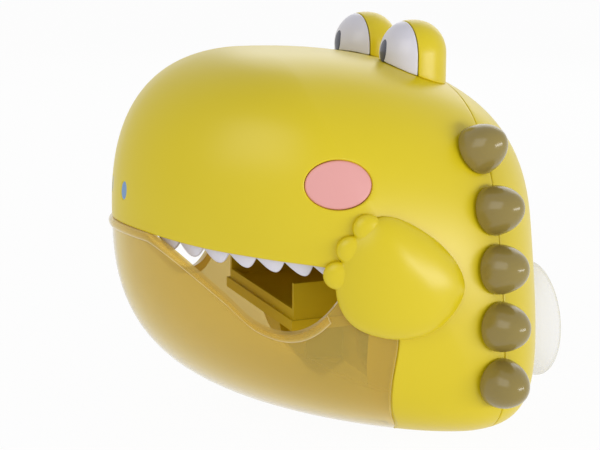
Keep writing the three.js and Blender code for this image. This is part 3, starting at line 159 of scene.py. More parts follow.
floor_material, ground = new_material("pale_floor")
floor_matt = ground.node("BsdfDiffuse", {"Color": (FLOOR_GREY, FLOOR_GREY, FLOOR_GREY, 1)})
floor_glow = ground.node("Emission", {"Color": (1, 1, 1, 1), "Strength": 1.0})
floor_share = FLOOR_BOUNCE + (FLOOR_LIGHT - FLOOR_BOUNCE) * seen_directly(ground)
floor_mix = ground.node("MixShader", {0: floor_share, 1: floor_matt, 2: floor_glow})
ground.node("OutputMaterial", {"Surface": floor_mix})
floor_mesh = bpy.data.meshes.new("floor")
floor_corners = [
    (x * FLOOR_SIZE / 2, y * FLOOR_SIZE / 2, 0) for x, y in ((-1, -1), (1, -1), (1, 1), (-1, 1))]
floor_mesh.from_pydata(floor_corners, [], [(0, 1, 2, 3)])
floor_mesh.materials.append(floor_material)
floor = bpy.data.objects.new("floor", floor_mesh)
floor.location.z = -FLOOR_DROP
scene.collection.objects.link(floor)

for lamp_name, lamp_place, lamp_width, lamp_height, lamp_power in LAMPS:
    lamp_data = bpy.data.lights.new(lamp_name, "AREA")
    lamp_data.shape = "RECTANGLE"
    lamp_data.size = lamp_width
    lamp_data.size_y = lamp_height
    lamp_data.energy = lamp_power
    lamp = bpy.data.objects.new(lamp_name, lamp_data)
    lamp.location = lamp_place
    lamp.rotation_mode = "QUATERNION"
    lamp.rotation_quaternion = (CAMERA_TARGET - Vector(lamp_place)).to_track_quat("-Z", "Y")
    scene.collection.objects.link(lamp)


# Front shell: one thin wall of yellow plastic, moulded in the head's round form.
# It is open at the mouth and at the seam, with rolled edges and holes for cheeks and nostrils.
# Inside are pillars for the screws at the seam, and the walls beside the wand wheel.
NOSE_Y, BACK_Y, TOP_Z, KEEL_Z, HALF_WIDTH = -84.9, 69.6, 137.6, -1.1, 74.0
NOSE_HEIGHT, BACK_HEIGHT, WIDE_HEIGHT = 75.7, 73.0, 35.0
AXIS_TOP_Y, AXIS_LOW_Y = -31.1, 29.6
NOSE_ABOVE, NOSE_BELOW, NOSE_ACROSS, NOSE_ALONG = 2.6, 2.4, 1.8, 1.5
BACK_ABOVE, BACK_BELOW, BACK_PLAN = 2.45, 3.5, 2.5
SIDE_ABOVE, SIDE_BELOW = 3.1, 4.0
SEAM_Y, WALL, GAP, SHELL_EDGE = 35.1, 2.2, 0.3, 0.55
HEAD_ROWS, HEAD_AROUND = 112, 240
LIP_LINE = [
    (-94.4, 80.3), (-83.4, 78.3), (-66.4, 74.9), (-47.4, 72.4), (-29.4, 70.0), (-16.4, 66.2),
    (-7.9, 57.0), (-4.9, 44.0), (-5.4, 26.0), (-3.4, 15.2), (2.1, 6.5), (9.6, -4.0)]
LIP_TURN_Z = 60.0
TROUGH_HALF, TROUGH_REAR, TROUGH_HEIGHT = 44.0, 24.6, 33.0
POCKET_X, POCKET_STEP, POCKET_LEAST, FOOT_RISE = 44.4, 0.15, 0.1, 0.5
SCREW_PLACES = [(46.0, 12.0), (32.0, 94.0)]
BOSS_RADIUS, BOSS_BORE, BOSS_Y, RIB_START = 4.0, 1.38, 27.3, 1.0
CHEEK_Y, CHEEK_Z, CHEEK_LONG, CHEEK_HIGH = -26.2, 98.6, 11.3, 8.2
NOSTRIL_X, NOSTRIL_Y, NOSTRIL_Z, NOSTRIL_WIDE, NOSTRIL_HIGH, NOSTRIL_GAP = 7.4, -80.0, 90.4, 1.95, 3.3, 0.12
# A distance that is given to places on the other side of the head, which no cut reaches.
FAR_AWAY = 50.0
# Of all plastics: the depth of the grain in metres, and how close the clouds of colour are.
GRAIN_DEPTH, CLOUD_SCALE = 0.0002, 28.0
SIDES = ((1, "left"), (-1, "right"))


def narrowing(z, widest, end, power):
    """One at the widest height and zero at the end, in a curve that a higher power makes fuller."""
    share = np.clip(np.abs((z - widest) / (end - widest)), 0, 1)
    return (1 - share ** power) ** (1 / power)


def slice_at(z, inset=0.0):
    """Front, back, middle and half width of the head at a height."""
    z = np.asarray(z, float)
    top, low = TOP_Z - inset, KEEL_Z + inset
    share = np.clip((z - low) / (top - low), 0, 1)
    axis = AXIS_LOW_Y + (AXIS_TOP_Y - AXIS_LOW_Y) * share * share * (3 - 2 * share)

    def outline(end, widest, above, below, from_top, from_low):
        return np.where(
            z >= widest, from_top + (end - from_top) * narrowing(z, widest, top, above),
            from_low + (end - from_low) * narrowing(z, widest, low, below))

    front = outline(NOSE_Y + inset, NOSE_HEIGHT, NOSE_ABOVE, NOSE_BELOW, AXIS_TOP_Y, AXIS_LOW_Y)
    rear = outline(BACK_Y - inset, BACK_HEIGHT, BACK_ABOVE, BACK_BELOW, AXIS_TOP_Y, AXIS_LOW_Y)
    middle = np.minimum(np.maximum(axis, front), rear)
    return front, rear, middle, outline(HALF_WIDTH - inset, WIDE_HEIGHT, SIDE_ABOVE, SIDE_BELOW, 0, 0)


def quarter(ahead, front, rear, middle):
    """How far the level outline reaches and the powers of its curve, ahead of its middle or behind it."""
    reach = np.where(ahead, middle - front, rear - middle)
    return reach, np.where(ahead, NOSE_ACROSS, BACK_PLAN), np.where(ahead, NOSE_ALONG, BACK_PLAN)


def skin_points(z, turn, inset=0.0):
    """Points of the skin at heights and turns; a turn of minus a quarter is the snout."""
    front, rear, middle, half = slice_at(z, inset)
    c, s = np.cos(turn), np.sin(turn)
    reach, across, along = quarter(s < 0, front, rear, middle)
    x = half * np.sign(c) * np.abs(c) ** (2 / across)
    y = middle + reach * np.sign(s) * np.abs(s) ** (2 / along)
    return np.stack([x, y, np.broadcast_to(z, x.shape)], -1)


def skin_level(points):
    """Below one inside the head, one on its skin."""
    x, y, z = points[..., 0], points[..., 1], points[..., 2]
    front, rear, middle, half = slice_at(z)
    reach, across, along = quarter(y < middle, front, rear, middle)
    side = np.abs(x) / np.maximum(half, 1e-6)
    length = np.abs(y - middle) / np.maximum(reach, 1e-6)
    return side ** across + length ** along


def skin_slope(points):
    """How fast the level rises along x, y and z."""
    step = 0.05
    return np.stack([
        (skin_level(points + step * unit) - skin_level(points - step * unit)) / (2 * step)
        for unit in np.eye(3)], -1)


def skin_distance(points):
    """How far points near the skin are outside it."""
    return (skin_level(points) - 1) / np.linalg.norm(skin_slope(points), axis=-1)


def skin_side(y, z):
    """How far the skin is from the middle plane, at a place of the side view."""
    y, z = np.asarray(y, float), np.asarray(z, float)
    front, rear, middle, half = slice_at(z)
    reach, across, along = quarter(y < middle, front, rear, middle)
    share = np.clip(np.abs(y - middle) / reach, 0, 1)
    return half * (1 - share ** along) ** (1 / across)


def skin_normal(y, z):
    """A place of the side view on the left side's skin, and the outward direction there."""
    foot = np.array([float(skin_side(y, z)), y, z])
    slope = skin_slope(foot)
    return foot, slope / np.linalg.norm(slope)


def meets_skin(inside, outside, at):
    """The values between inside and outside for which the places at(value) lie on the skin."""
    for _ in range(40):
        middle = (inside + outside) / 2
        within = skin_level(at(middle)) < 1
        inside, outside = np.where(within, middle, inside), np.where(within, outside, middle)
    return inside


def onto_skin(points):
    """Moves points near the skin onto it, level by level."""
    front, rear, middle, half = slice_at(points[:, 2])
    reach, across, along = quarter(points[:, 1] < middle, front, rear, middle)
    side = (np.abs(points[:, 0]) / half) ** across
    length = (np.abs(points[:, 1] - middle) / reach) ** along
    scale = np.ones(len(points))
    for _ in range(6):
        value = side * scale ** across + length * scale ** along - 1
        rise = side * across * scale ** (across - 1) + length * along * scale ** (along - 1)
        scale = scale - value / rise
    out = points.copy()
    out[:, 0] *= scale
    out[:, 1] = middle + (points[:, 1] - middle) * scale
    return out


def through(points, steps):
    """A smooth curve through points of a drawing, as a close row of points."""
    points = np.array(points, float)
    padded = np.vstack([points[:1], points, points[-1:]])
    row = []
    for i in range(len(points) - 1):
        a, b, c, d = padded[i:i + 4]
        for t in np.linspace(0, 1, steps, endpoint=False):
            row.append(0.5 * (2 * b + (c - a) * t + (2 * a - 5 * b + 4 * c - d) * t ** 2
                              + (3 * b - a - 3 * c + d) * t ** 3))
    return np.array(row + [points[-1]])


def beside(line, y, z):
    """Distance from a drawn line in the side view, positive on its left."""
    nearest = np.full(len(y), np.inf)
    signed = np.zeros(len(y))
    for (ay, az), (by, bz) in zip(line[:-1], line[1:]):
        dy, dz = by - ay, bz - az
        share = np.clip(((y - ay) * dy + (z - az) * dz) / (dy * dy + dz * dz), 0, 1)
        away = np.hypot(y - ay - share * dy, z - az - share * dz)
        left = dy * (z - az) - dz * (y - ay)
        closer = away < nearest
        nearest = np.where(closer, away, nearest)
        signed = np.where(closer, np.where(left >= 0, away, -away), signed)
    return signed


def head_sheet():
    """The head's skin as one fine sheet, flat where the head stands."""
    z = KEEL_Z + (TOP_Z - KEEL_Z) * (1 - np.cos(np.pi * np.arange(1, HEAD_ROWS) / HEAD_ROWS)) / 2
    turn = 2 * np.pi * np.arange(HEAD_AROUND) / HEAD_AROUND
    points, faces = loft(skin_points(z[:, None], turn[None, :]), closed_ends=False)
    pole, last = len(points), len(points) - HEAD_AROUND
    for k in range(HEAD_AROUND):
        faces.append(((k + 1) % HEAD_AROUND, k, pole))
        faces.append((last + k, last + (k + 1) % HEAD_AROUND, pole + 1))
    points = np.vstack([points] + [[0, float(slice_at(end)[2]), end] for end in (KEEL_Z, TOP_Z)])
    points[:, 2] = np.maximum(points[:, 2], 0)
    return sheet_of(points, faces)


def sheet_of(points, faces):
    mesh = bpy.data.meshes.new("sheet")
    mesh.from_pydata([tuple(p) for p in points], [], faces)
    sheet = bmesh.new()
    sheet.from_mesh(mesh)
    bpy.data.meshes.remove(mesh)
    return sheet


def trim(sheet, keep, snap=0.22):
    """Cuts a sheet along the line where keep(points) is zero, and drops what is below it."""
    sheet.verts.ensure_lookup_table()
    sheet.verts.index_update()
    level = keep(np.array([v.co[:] for v in sheet.verts]))
    level = dict(zip(sheet.verts, level))
    for edge in sheet.edges:
        a, b = edge.verts
        if level[a] * level[b] >= 0:
            continue
        share = level[a] / (level[a] - level[b])
        if share < snap:
            a.co = a.co.lerp(b.co, share)
            level[a] = 0.0
        elif share > 1 - snap:
            b.co = a.co.lerp(b.co, share)
            level[b] = 0.0
    for edge in list(sheet.edges):
        a, b = edge.verts
        if level[a] * level[b] < 0:
            share = level[a] / (level[a] - level[b])
            _, new = bmesh.utils.edge_split(edge, a, share)
            level[new] = 0.0
    for face in list(sheet.faces):
        cut = [v for v in face.verts if level[v] == 0]
        if len(cut) < 2 or min(level[v] for v in face.verts) >= 0 or max(level[v] for v in face.verts) <= 0:
            continue
        for i, first in enumerate(cut):
            for second in cut[i + 1:]:
                if face.is_valid and not any(second in e.verts for e in first.link_edges):
                    order = list(face.verts)
                    if first in order and second in order:
                        bmesh.utils.face_split(face, first, second)
    lost = [f for f in sheet.faces if min(level[v] for v in f.verts) < 0]
    bmesh.ops.delete(sheet, geom=lost, context="FACES")
    return sheet


def refine(sheet, place, radius, times, settle=onto_skin):
    """Splits the cells round a place, so that a small hole has a clean edge."""
    place = Vector(place)
    for _ in range(times):
        before = {v.co.to_tuple(5) for v in sheet.verts}
        near = [e for e in sheet.edges
                if (e.verts[0].co - place).length < radius and (e.verts[1].co - place).length < radius]
        bmesh.ops.subdivide_edges(sheet, edges=near, cuts=1, use_grid_fill=True)
        new = [v for v in sheet.verts if v.co.to_tuple(5) not in before]
        for vertex, point in zip(new, settle(np.array([v.co[:] for v in new]))):
            vertex.co = point


def with_wall(sheet, thick, edge, steps=4):
    """Gives a trimmed sheet its thickness and a rolled edge: the points and faces of a closed solid."""
    loose = [v for v in sheet.verts if not v.link_faces]
    bmesh.ops.delete(sheet, geom=loose, context="VERTS")
    sheet.normal_update()
    sheet.verts.index_update()
    points = np.array([v.co[:] for v in sheet.verts])
    normals = np.array([v.normal[:] for v in sheet.verts])
    faces = [tuple(v.index for v in f.verts) for f in sheet.faces]
    rim = []
    outward = np.zeros_like(points)
    beside_it = {}
    for e in sheet.edges:
        if len(e.link_faces) != 1:
            continue
        loop = e.link_loops[0]
        i, j = loop.vert.index, loop.link_loop_next.vert.index
        rim.append((i, j))
        away = np.cross(points[j] - points[i], np.array(e.link_faces[0].normal[:]))
        for near, far in ((i, j), (j, i)):
            outward[near] += away
            beside_it.setdefault(near, []).append(far)
    on_rim = sorted(beside_it)
    for _ in range(5):
        mean = outward.copy()
        for i in on_rim:
            mean[i] = outward[i] + sum(outward[j] for j in beside_it[i]) / len(beside_it[i])
        outward = mean
    outward[on_rim] -= normals[on_rim] * np.sum(outward[on_rim] * normals[on_rim], -1, keepdims=True)
    outward[on_rim] /= np.linalg.norm(outward[on_rim], axis=-1, keepdims=True)
    place = {v: k for k, v in enumerate(on_rim)}
    rings = []
    for k in range(1, steps + 1):
        turn = math.pi / 2 * k / steps
        rings.append(points[on_rim] + edge * math.sin(turn) * outward[on_rim]
                     - edge * (1 - math.cos(turn)) * normals[on_rim])
    rings.append(points[on_rim] + edge * outward[on_rim] - thick * normals[on_rim])
    count = len(points)
    starts = [2 * count + k * len(on_rim) for k in range(len(rings))]
    closed = list(faces) + [tuple(count + i for i in reversed(f)) for f in faces]
    for i, j in rim:
        row = [(i, j)] + [(start + place[i], start + place[j]) for start in starts]
        row.append((count + i, count + j))
        for (a, b), (c, d) in zip(row[:-1], row[1:]):
            closed.append((b, a, c, d))
    sheet.free()
    return np.vstack([points, points - thick * normals] + rings), closed


def new_object(name, mesh, material=None):
    if material is not None:
        mesh.materials.append(material)
    made = bpy.data.objects.new(name, mesh)
    scene.collection.objects.link(made)
    return made


def solid_object(name, points, faces, material=None, sharp=None):
    """A new object from points in millimetres, smooth but for edges sharper than the angle."""
    mesh = bpy.data.meshes.new(name)
    places = [tuple(p) for p in np.asarray(points, float) * MM]
    mesh.from_pydata(places, [], [tuple(int(i) for i in f) for f in faces])
    mesh.validate()
    solid = bmesh.new()
    solid.from_mesh(mesh)
    bmesh.ops.recalc_face_normals(solid, faces=solid.faces)
    solid.to_mesh(mesh)
    solid.free()
    mesh.shade_smooth()
    if sharp is not None:
        mesh.set_sharp_from_angle(angle=math.radians(sharp))
    return new_object(name, mesh, material)


def oval(u, v, long, high):
    """Distance outside an oval, near enough to its edge."""
    k = np.sqrt((u / long) ** 2 + (v / high) ** 2)
    slope = np.sqrt((u / long ** 2) ** 2 + (v / high ** 2) ** 2)
    return k * (k - 1) / np.maximum(slope, 1e-9)


def on_side(foot, normal, side):
    """Two directions along the skin at a place, and the outward one, on either side."""
    flip = np.array([side, 1, 1])
    foot, normal = foot * flip, normal * flip
    along = np.cross([0, 0, 1], normal)
    along /= np.linalg.norm(along)
    return foot, along, np.cross(normal, along), normal


def linear(colour):
    """A colour as a screen shows it, from 0 to 255, as a shader takes it."""
    return tuple(((c / 255 + 0.055) / 1.055) ** 2.4 for c in colour) + (1.0,)


def moulded(name, colour, roughness, grain=0.06, grain_size=0.45, cloud=0.05, gloss_change=0.05,
            second=None, **sockets):
    """Moulded plastic: a fine grain, and small changes of colour and gloss over the piece."""
    material, paint = new_material(name)
    fine = paint.noise(1 / (grain_size * MM), 3.0, 0.55)
    broad = paint.noise(CLOUD_SCALE)
    first = linear(colour)
    other = linear(second) if second else tuple(c * (1 - cloud) for c in first[:3]) + (1,)
    tone = paint.node("Mix", {0: broad, 6: first, 7: other}, {"data_type": "RGBA"}, out=2)
    bump = paint.node("Bump", {"Strength": grain, "Distance": GRAIN_DEPTH, "Height": fine})
    shader = paint.node("BsdfPrincipled", {
        "Base Color": tone, "Roughness": roughness + gloss_change * (broad - 0.5), "Normal": bump, **sockets})
    paint.node("OutputMaterial", {"Surface": shader})
    return material


yellow_shell = moulded("yellow_shell", (226, 204, 22), 0.34, second=(222, 199, 14), IOR=1.5)

lip_curve = through(LIP_LINE, 8)
cheek_foot, cheek_normal = skin_normal(CHEEK_Y, CHEEK_Z)
nostril_foot = onto_skin(np.array([[NOSTRIL_X, NOSTRIL_Y, NOSTRIL_Z]]))[0]
screw_spots = [(side * x, z) for x, z in SCREW_PLACES for side in (1, -1)]


def clear_of_cheek(points, side, grow):
    foot, along, up, normal = on_side(cheek_foot, cheek_normal, side)
    apart = points - foot
    away = oval(apart @ along, apart @ up, CHEEK_LONG + grow, CHEEK_HIGH + grow)
    return np.where(points[:, 0] * side > 0, away, FAR_AWAY)


def clear_of_nostril(points, side, grow):
    across, rise = points[:, 0] - side * NOSTRIL_X, points[:, 2] - NOSTRIL_Z
    away = oval(across, rise, NOSTRIL_WIDE + grow, NOSTRIL_HIGH + grow)
    return np.where(points[:, 1] < NOSE_Y / 2, away, FAR_AWAY)


def lathe(profile, around, place, direction):
    """A turned solid: pairs of radius and height, along a direction from a place."""
    direction = Vector(direction).normalized()
    spin = direction.to_track_quat("Z", "Y").to_matrix()
    points, faces, rings = [], [], []
    for radius, height in profile:
        count = around if radius > 0 else 1
        rings.append([len(points) + k % count for k in range(around + 1)])
        for k in range(count):
            turn = 2 * math.pi * k / around
            points.append(spin @ Vector((radius * math.cos(turn), radius * math.sin(turn), height)))
    for lower, upper in zip(rings[:-1], rings[1:]):
        for k in range(around):
            corners = dict.fromkeys((lower[k], lower[k + 1], upper[k + 1], upper[k]))
            if len(corners) > 2:
                faces.append(tuple(corners))
    return np.array([p[:] for p in points]) + np.array(place, float), faces


def pin(radius, low, high, bore=0):
    """The profile of a straight pin, or of a tube where it has a bore."""
    return [(bore, low), (radius, low), (radius, high), (bore, high)] + ([(bore, low)] if bore else [])


def dome(radius, foot, rise, across, up, steps):
    """The profile of a dome, from just above its widest ring to its top."""
    profile = [
        (radius * math.cos(angle) ** across, foot + rise * math.sin(angle) ** up)
        for angle in np.linspace(0, math.pi / 2, steps)[1:-1]]
    return profile + [(0, foot + rise)]

def joined(*solids):
    """Several closed solids in one mesh."""
    points, faces, start = [], [], 0
    for some_points, some_faces in solids:
        points.append(np.asarray(some_points))
        faces += [tuple(i + start for i in f) for f in some_faces]
        start += len(some_points)
    return np.vstack(points), faces


def loft(rings, closed_ends=True):
    """A solid through rings of equal count."""
    rings = np.asarray(rings)
    rows, count = rings.shape[:2]
    points = rings.reshape(-1, 3)
    faces = []
    for row in range(rows - 1):
        for k in range(count):
            a, b = row * count + k, row * count + (k + 1) % count
            faces.append((a, b, b + count, a + count))
    if closed_ends:
        faces.append(tuple(range(count))[::-1])
        faces.append(tuple((rows - 1) * count + k for k in range(count)))
    return points, faces


def mirrored(points, faces, side):
    if side > 0:
        return points, faces
    return points * [-1, 1, 1], [tuple(reversed(f)) for f in faces]


def skin_end(x, y, from_z, to_z):
    """The height at which an upright line from inside the head meets its skin."""
    return float(meets_skin(from_z, to_z, lambda z: np.array([x, y, z])))


def wall_ring(ends, near, far=HALF_WIDTH):
    """Four corners of an upright wall between two places of the side view, kept inside the skin."""
    inner, outer = [], []
    for y, z in ends:
        z = max(z, FOOT_RISE)
        reach = min(far, float(skin_side(y, z)) - WALL / 2)
        inner.append((min(near, reach - POCKET_LEAST), y, z))
        outer.append((reach, y, z))
    return [inner[0], outer[0], outer[1], inner[1]]


def pocket_back():
    """The wall behind the mouth's rear edge, beside the wand wheel."""
    line = lip_curve[(lip_curve[:, 1] < LIP_TURN_Z) & (lip_curve[:, 1] >= 0)]
    along = np.gradient(line, axis=0)
    along /= np.linalg.norm(along, axis=1, keepdims=True)
    behind = line + WALL * np.stack([-along[:, 1], along[:, 0]], 1)
    return loft([wall_ring(ends, POCKET_X + POCKET_STEP) for ends in zip(line, behind)])


def pocket_side():
    """The upright plate beside the tank's square trough."""
    upward = lip_curve[lip_curve[:, 1] < LIP_TURN_Z][::-1]
    rings = []
    for z in np.linspace(FOOT_RISE, TROUGH_HEIGHT + WALL, 12):
        y_front = float(np.interp(z, upward[:, 1], upward[:, 0])) + GAP
        rings.append(wall_ring([(y_front, z), (TROUGH_REAR, z)], POCKET_X, POCKET_X + WALL))
    return loft(rings)


def screw_boss(x, z):
    """A pillar behind the seam that takes a case screw."""
    return lathe(pin(BOSS_RADIUS, 0, SEAM_Y - BOSS_Y, BOSS_BORE), 32, (x, BOSS_Y, z), (0, 1, 0))


def boss_rib(x, z):
    """A rib from a pillar to the nearest wall, below or above it."""
    near, far = x - WALL / 2, x + WALL / 2
    corners = [(near, BOSS_Y), (far, BOSS_Y), (far, SEAM_Y), (near, SEAM_Y)]
    if z > WIDE_HEIGHT:
        low = [z + BOSS_BORE + RIB_START] * 4
        high = [skin_end(cx, cy, z, TOP_Z) - WALL / 2 for cx, cy in corners]
    else:
        low = [max(WALL / 2, skin_end(cx, cy, z, KEEL_Z) + WALL / 2) for cx, cy in corners]
        high = [z - BOSS_BORE - RIB_START] * 4
    return loft([[(cx, cy, level) for (cx, cy), level in zip(corners, levels)] for levels in (low, high)])


front = head_sheet()
trim(front, lambda p: SEAM_Y - SHELL_EDGE - p[:, 1])
trim(front, lambda p: beside(lip_curve, p[:, 1], p[:, 2]) - SHELL_EDGE)
trim(front, lambda p: np.maximum.reduce([
    np.abs(p[:, 0]) - TROUGH_HALF, p[:, 1] - TROUGH_REAR, p[:, 2] - TROUGH_HEIGHT]) - GAP - SHELL_EDGE)
for side, _ in SIDES:
    refine(front, cheek_foot * [side, 1, 1], radius=17, times=1)
    refine(front, nostril_foot * [side, 1, 1], radius=8, times=3)
    trim(front, lambda p: clear_of_cheek(p, side, GAP + SHELL_EDGE))
    trim(front, lambda p: clear_of_nostril(p, side, NOSTRIL_GAP + SHELL_EDGE / 2))
half_walls = [pocket_back(), pocket_side()] + [boss_rib(x, z) for x, z in SCREW_PLACES]
inner_walls = [screw_boss(x, z) for x, z in screw_spots]
inner_walls += [mirrored(*wall, side) for wall in half_walls for side, _ in SIDES]
front_shell = solid_object(
    "front_shell_moulding", *joined(with_wall(front, WALL, SHELL_EDGE), *inner_walls), yellow_shell, sharp=50)
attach(front_shell, "head")
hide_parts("front_shell")


# Rear shell: the second half of the head, in the same yellow plastic.
# It has an opening for the battery door, wells for four screws and a hole for the suction cup.
DOOR_HALF, DOOR_LOW, DOOR_HIGH, DOOR_CORNER = 22.2, 48.6, 98.4, 1.2
CUP_Z, CUP_NECK = 24.6, 4.0
SCREW_WELL, SCREW_SEAT_Y = 3.2, 44.0
WELL_WALL, WELL_FLOOR, WELL_SPREAD, WELL_SUNK = 1.4, 1.6, 4.0, 0.3


def clear_of_door(points, grow):
    """Distance outside the door's oblong with round corners, at the back of the head."""
    dx = np.abs(points[:, 0]) - (DOOR_HALF + grow - DOOR_CORNER)
    dz = np.abs(points[:, 2] - (DOOR_LOW + DOOR_HIGH) / 2) - ((DOOR_HIGH - DOOR_LOW) / 2 + grow - DOOR_CORNER)
    away = np.hypot(np.maximum(dx, 0), np.maximum(dz, 0)) + np.minimum(np.maximum(dx, dz), 0) - DOOR_CORNER
    return np.where(points[:, 1] > SEAM_Y, away, FAR_AWAY)


def clear_of_hole(points, x, z, radius):
    """Distance outside a round hole at the back of the head."""
    away = np.hypot(points[:, 0] - x, points[:, 2] - z)
    return np.where(points[:, 1] > SEAM_Y, away, FAR_AWAY) - radius


def back_of(x, z):
    """The skin's place at the back of the head, behind a place of the front view."""
    return float(meets_skin(SEAM_Y, BACK_Y + 2, lambda y: np.array([x, y, z])))


def screw_well(x, z):
    """A deep cup in the skin, on whose floor a case screw's head sits."""
    spread = (-WELL_SPREAD, WELL_SPREAD)
    mouth = min(back_of(x + dx, z + dz) for dx in spread for dz in spread) - WELL_SUNK
    outer, base = SCREW_WELL + WELL_WALL, SCREW_SEAT_Y - WELL_FLOOR
    return lathe([
        (0, base), (outer, base), (outer, mouth - 0.6), (SCREW_WELL + 0.4, mouth - 0.2),
        (SCREW_WELL, mouth - 0.6), (SCREW_WELL, SCREW_SEAT_Y), (0, SCREW_SEAT_Y)], 40, (x, 0, z), (0, 1, 0))


rear = head_sheet()
trim(rear, lambda p: p[:, 1] - SEAM_Y - GAP / 2 - SHELL_EDGE)
for x, z in screw_spots:
    refine(rear, (x, back_of(x, z), z), radius=7, times=2)
refine(rear, (0, back_of(0, CUP_Z), CUP_Z), radius=8, times=2)
trim(rear, lambda p: clear_of_door(p, GAP + SHELL_EDGE))
trim(rear, lambda p: clear_of_hole(p, 0, CUP_Z, CUP_NECK + GAP + SHELL_EDGE))
for x, z in screw_spots:
    trim(rear, lambda p: clear_of_hole(p, x, z, SCREW_WELL + SHELL_EDGE))
wells = [screw_well(x, z) for x, z in screw_spots]
rear_shell = solid_object(
    "rear_shell_moulding", *joined(with_wall(rear, WALL, SHELL_EDGE), *wells), yellow_shell, sharp=35)
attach(rear_shell, "head")
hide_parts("rear_shell")


# Battery door: a curved oblong lid, flush in the rear shell and held by one screw.
# Its soft seal and its screw are the ones of the frame.
DOOR_SCREW_Z, DOOR_SCREW_SINK, DOOR_EDGE, DOOR_BEHIND = 52.0, 2.7, 0.4, 5.0
SINK_LEDGE, SINK_WALL, SINK_DEPTH, SINK_FLOOR, SINK_START = 1.1, 0.9, 1.9, 0.7, 2.3
DOOR_GRIP_Z, DOOR_GRIP_PITCH, DOOR_GRIPS = 90.5, 2.2, 3
DOOR_GRIP_HALF, DOOR_GRIP_DEPTH, DOOR_GRIP_WIDE, DOOR_GRIP_FADE = 7.0, 0.35, 0.45, 0.3


def grip_ribs(points):
    """Low ribs across the top of the lid, where a thumb pushes."""
    lift = np.zeros(len(points))
    for k in range(DOOR_GRIPS):
        z = DOOR_GRIP_Z + (k - 1) * DOOR_GRIP_PITCH
        near = np.exp(-((points[:, 2] - z) / DOOR_GRIP_WIDE) ** 2)
        ends = 1 / (1 + np.exp((np.abs(points[:, 0]) - DOOR_GRIP_HALF) / DOOR_GRIP_FADE))
        lift += DOOR_GRIP_DEPTH * near * ends
    return lift


door = head_sheet()
trim(door, lambda p: p[:, 1] - SEAM_Y - DOOR_BEHIND)
trim(door, lambda p: -clear_of_door(p, -DOOR_EDGE))
refine(door, (0, back_of(0, DOOR_SCREW_Z), DOOR_SCREW_Z), radius=6, times=2)
refine(door, (0, back_of(0, DOOR_GRIP_Z), DOOR_GRIP_Z), radius=9, times=3)
trim(door, lambda p: clear_of_hole(p, 0, DOOR_SCREW_Z, DOOR_SCREW_SINK + DOOR_EDGE))
for vertex, lift in zip(door.verts, grip_ribs(np.array([v.co[:] for v in door.verts]))):
    vertex.co.y += lift
sink_in, sink_out = DOOR_SCREW_SINK - SINK_LEDGE, DOOR_SCREW_SINK + SINK_WALL
door_sink = lathe([
    (sink_in, 0), (sink_out, 0), (sink_out, SINK_DEPTH), (DOOR_SCREW_SINK, SINK_DEPTH),
    (DOOR_SCREW_SINK, SINK_FLOOR), (sink_in, SINK_FLOOR), (sink_in, 0)], 40,
    (0, back_of(0, DOOR_SCREW_Z) - SINK_START, DOOR_SCREW_Z), (0, 1, 0))
door_piece = solid_object(
    "battery_door_moulding", *joined(with_wall(door, WALL, DOOR_EDGE), door_sink), yellow_shell, sharp=35)
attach(door_piece, "battery_door")
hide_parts("battery_door")


# Tank: the lower jaw, one thin wall of clear smoky amber plastic with a rolled rim.
# It holds the solution, and a square trough at its back lies under the wand wheel.
RIM_LINE = [
    (-78.9, 77.3), (-74.0, 73.1), (-66.4, 65.6), (-58.6, 57.8), (-51.0, 49.6), (-45.4, 46.3),
    (-40.4, 45.2), (-35.4, 46.4), (-30.4, 50.5), (-25.4, 58.0), (-20.4, 67.5)]
ABOVE_HEAD = 140.0
BEAD_OUT, BEAD_IN, BEAD_HIGH, BEAD_LEAN = 1.3, 1.2, 3.0, 0.1
BEAD_END_Y, BEAD_STEPS, BEAD_AROUND = -28.4, 120, 14
TANK_EDGE, TROUGH_FRONT, TROUGH_SKIN, TROUGH_RIM = 0.5, 6.0, 12.0, 0.6
CLEAR_CLOUD, CLEAR_GRAIN, CLEAR_BUMP, CLEAR_INDEX, MOST_LAYERS = 18.0, 900.0, 0.03, 1.45, 5.0


def clear_plastic(name, tint, milk, pale, cover, roughness):
    """See-through plastic in a thin wall, part of it milky. Towards its edges its colour goes over to a
    second one, which is painted: a painted reflection of the white room on the tank, a painted grey shade on
    the cup.
    Behind MOST_LAYERS clear layers it shows solid, which bounds the work of a ray."""
    material, paint = new_material(name)
    broad = paint.noise(CLEAR_CLOUD)
    bump = paint.node("Bump", {
        "Strength": CLEAR_BUMP, "Distance": GRAIN_DEPTH, "Height": paint.noise(CLEAR_GRAIN)})
    slant = paint.node("LayerWeight", {"Blend": 0.5}, out="Facing")
    edge = slant * slant
    # Painted edge light: the more the wall turns away from the camera, the more its colour is the second one,
    # a painted reflection or a painted shade.
    tone = paint.node("Mix", {0: edge, 6: linear(milk), 7: linear(pale)}, {"data_type": "RGBA"}, out=2)
    clear = paint.node("BsdfTransparent", {"Color": linear(tint)})
    gloss = roughness + 0.05 * (broad - 0.5)
    body = paint.node("BsdfPrincipled", {
        "Base Color": tone, "Roughness": gloss, "Normal": bump, "IOR": CLEAR_INDEX})
    deep = paint.node("LightPath", out="Transparent Depth").maths("GREATER_THAN", MOST_LAYERS)
    share = paint.node("Clamp", {"Value": cover * (0.95 + 0.1 * broad) + (1 - cover) * edge + deep})
    paint.node("OutputMaterial", {"Surface": paint.node("MixShader", {0: share, 1: clear, 2: body})})
    return material


# The tank's pale edges are a painted reflection of the white room.
amber_tank = clear_plastic("amber_tank", (245, 233, 188), (254, 230, 122), (255, 253, 244), 0.25, 0.14)


def lip_height(y):
    ahead = lip_curve[lip_curve[:, 1] > LIP_TURN_Z]
    return np.interp(y, ahead[:, 0], ahead[:, 1])


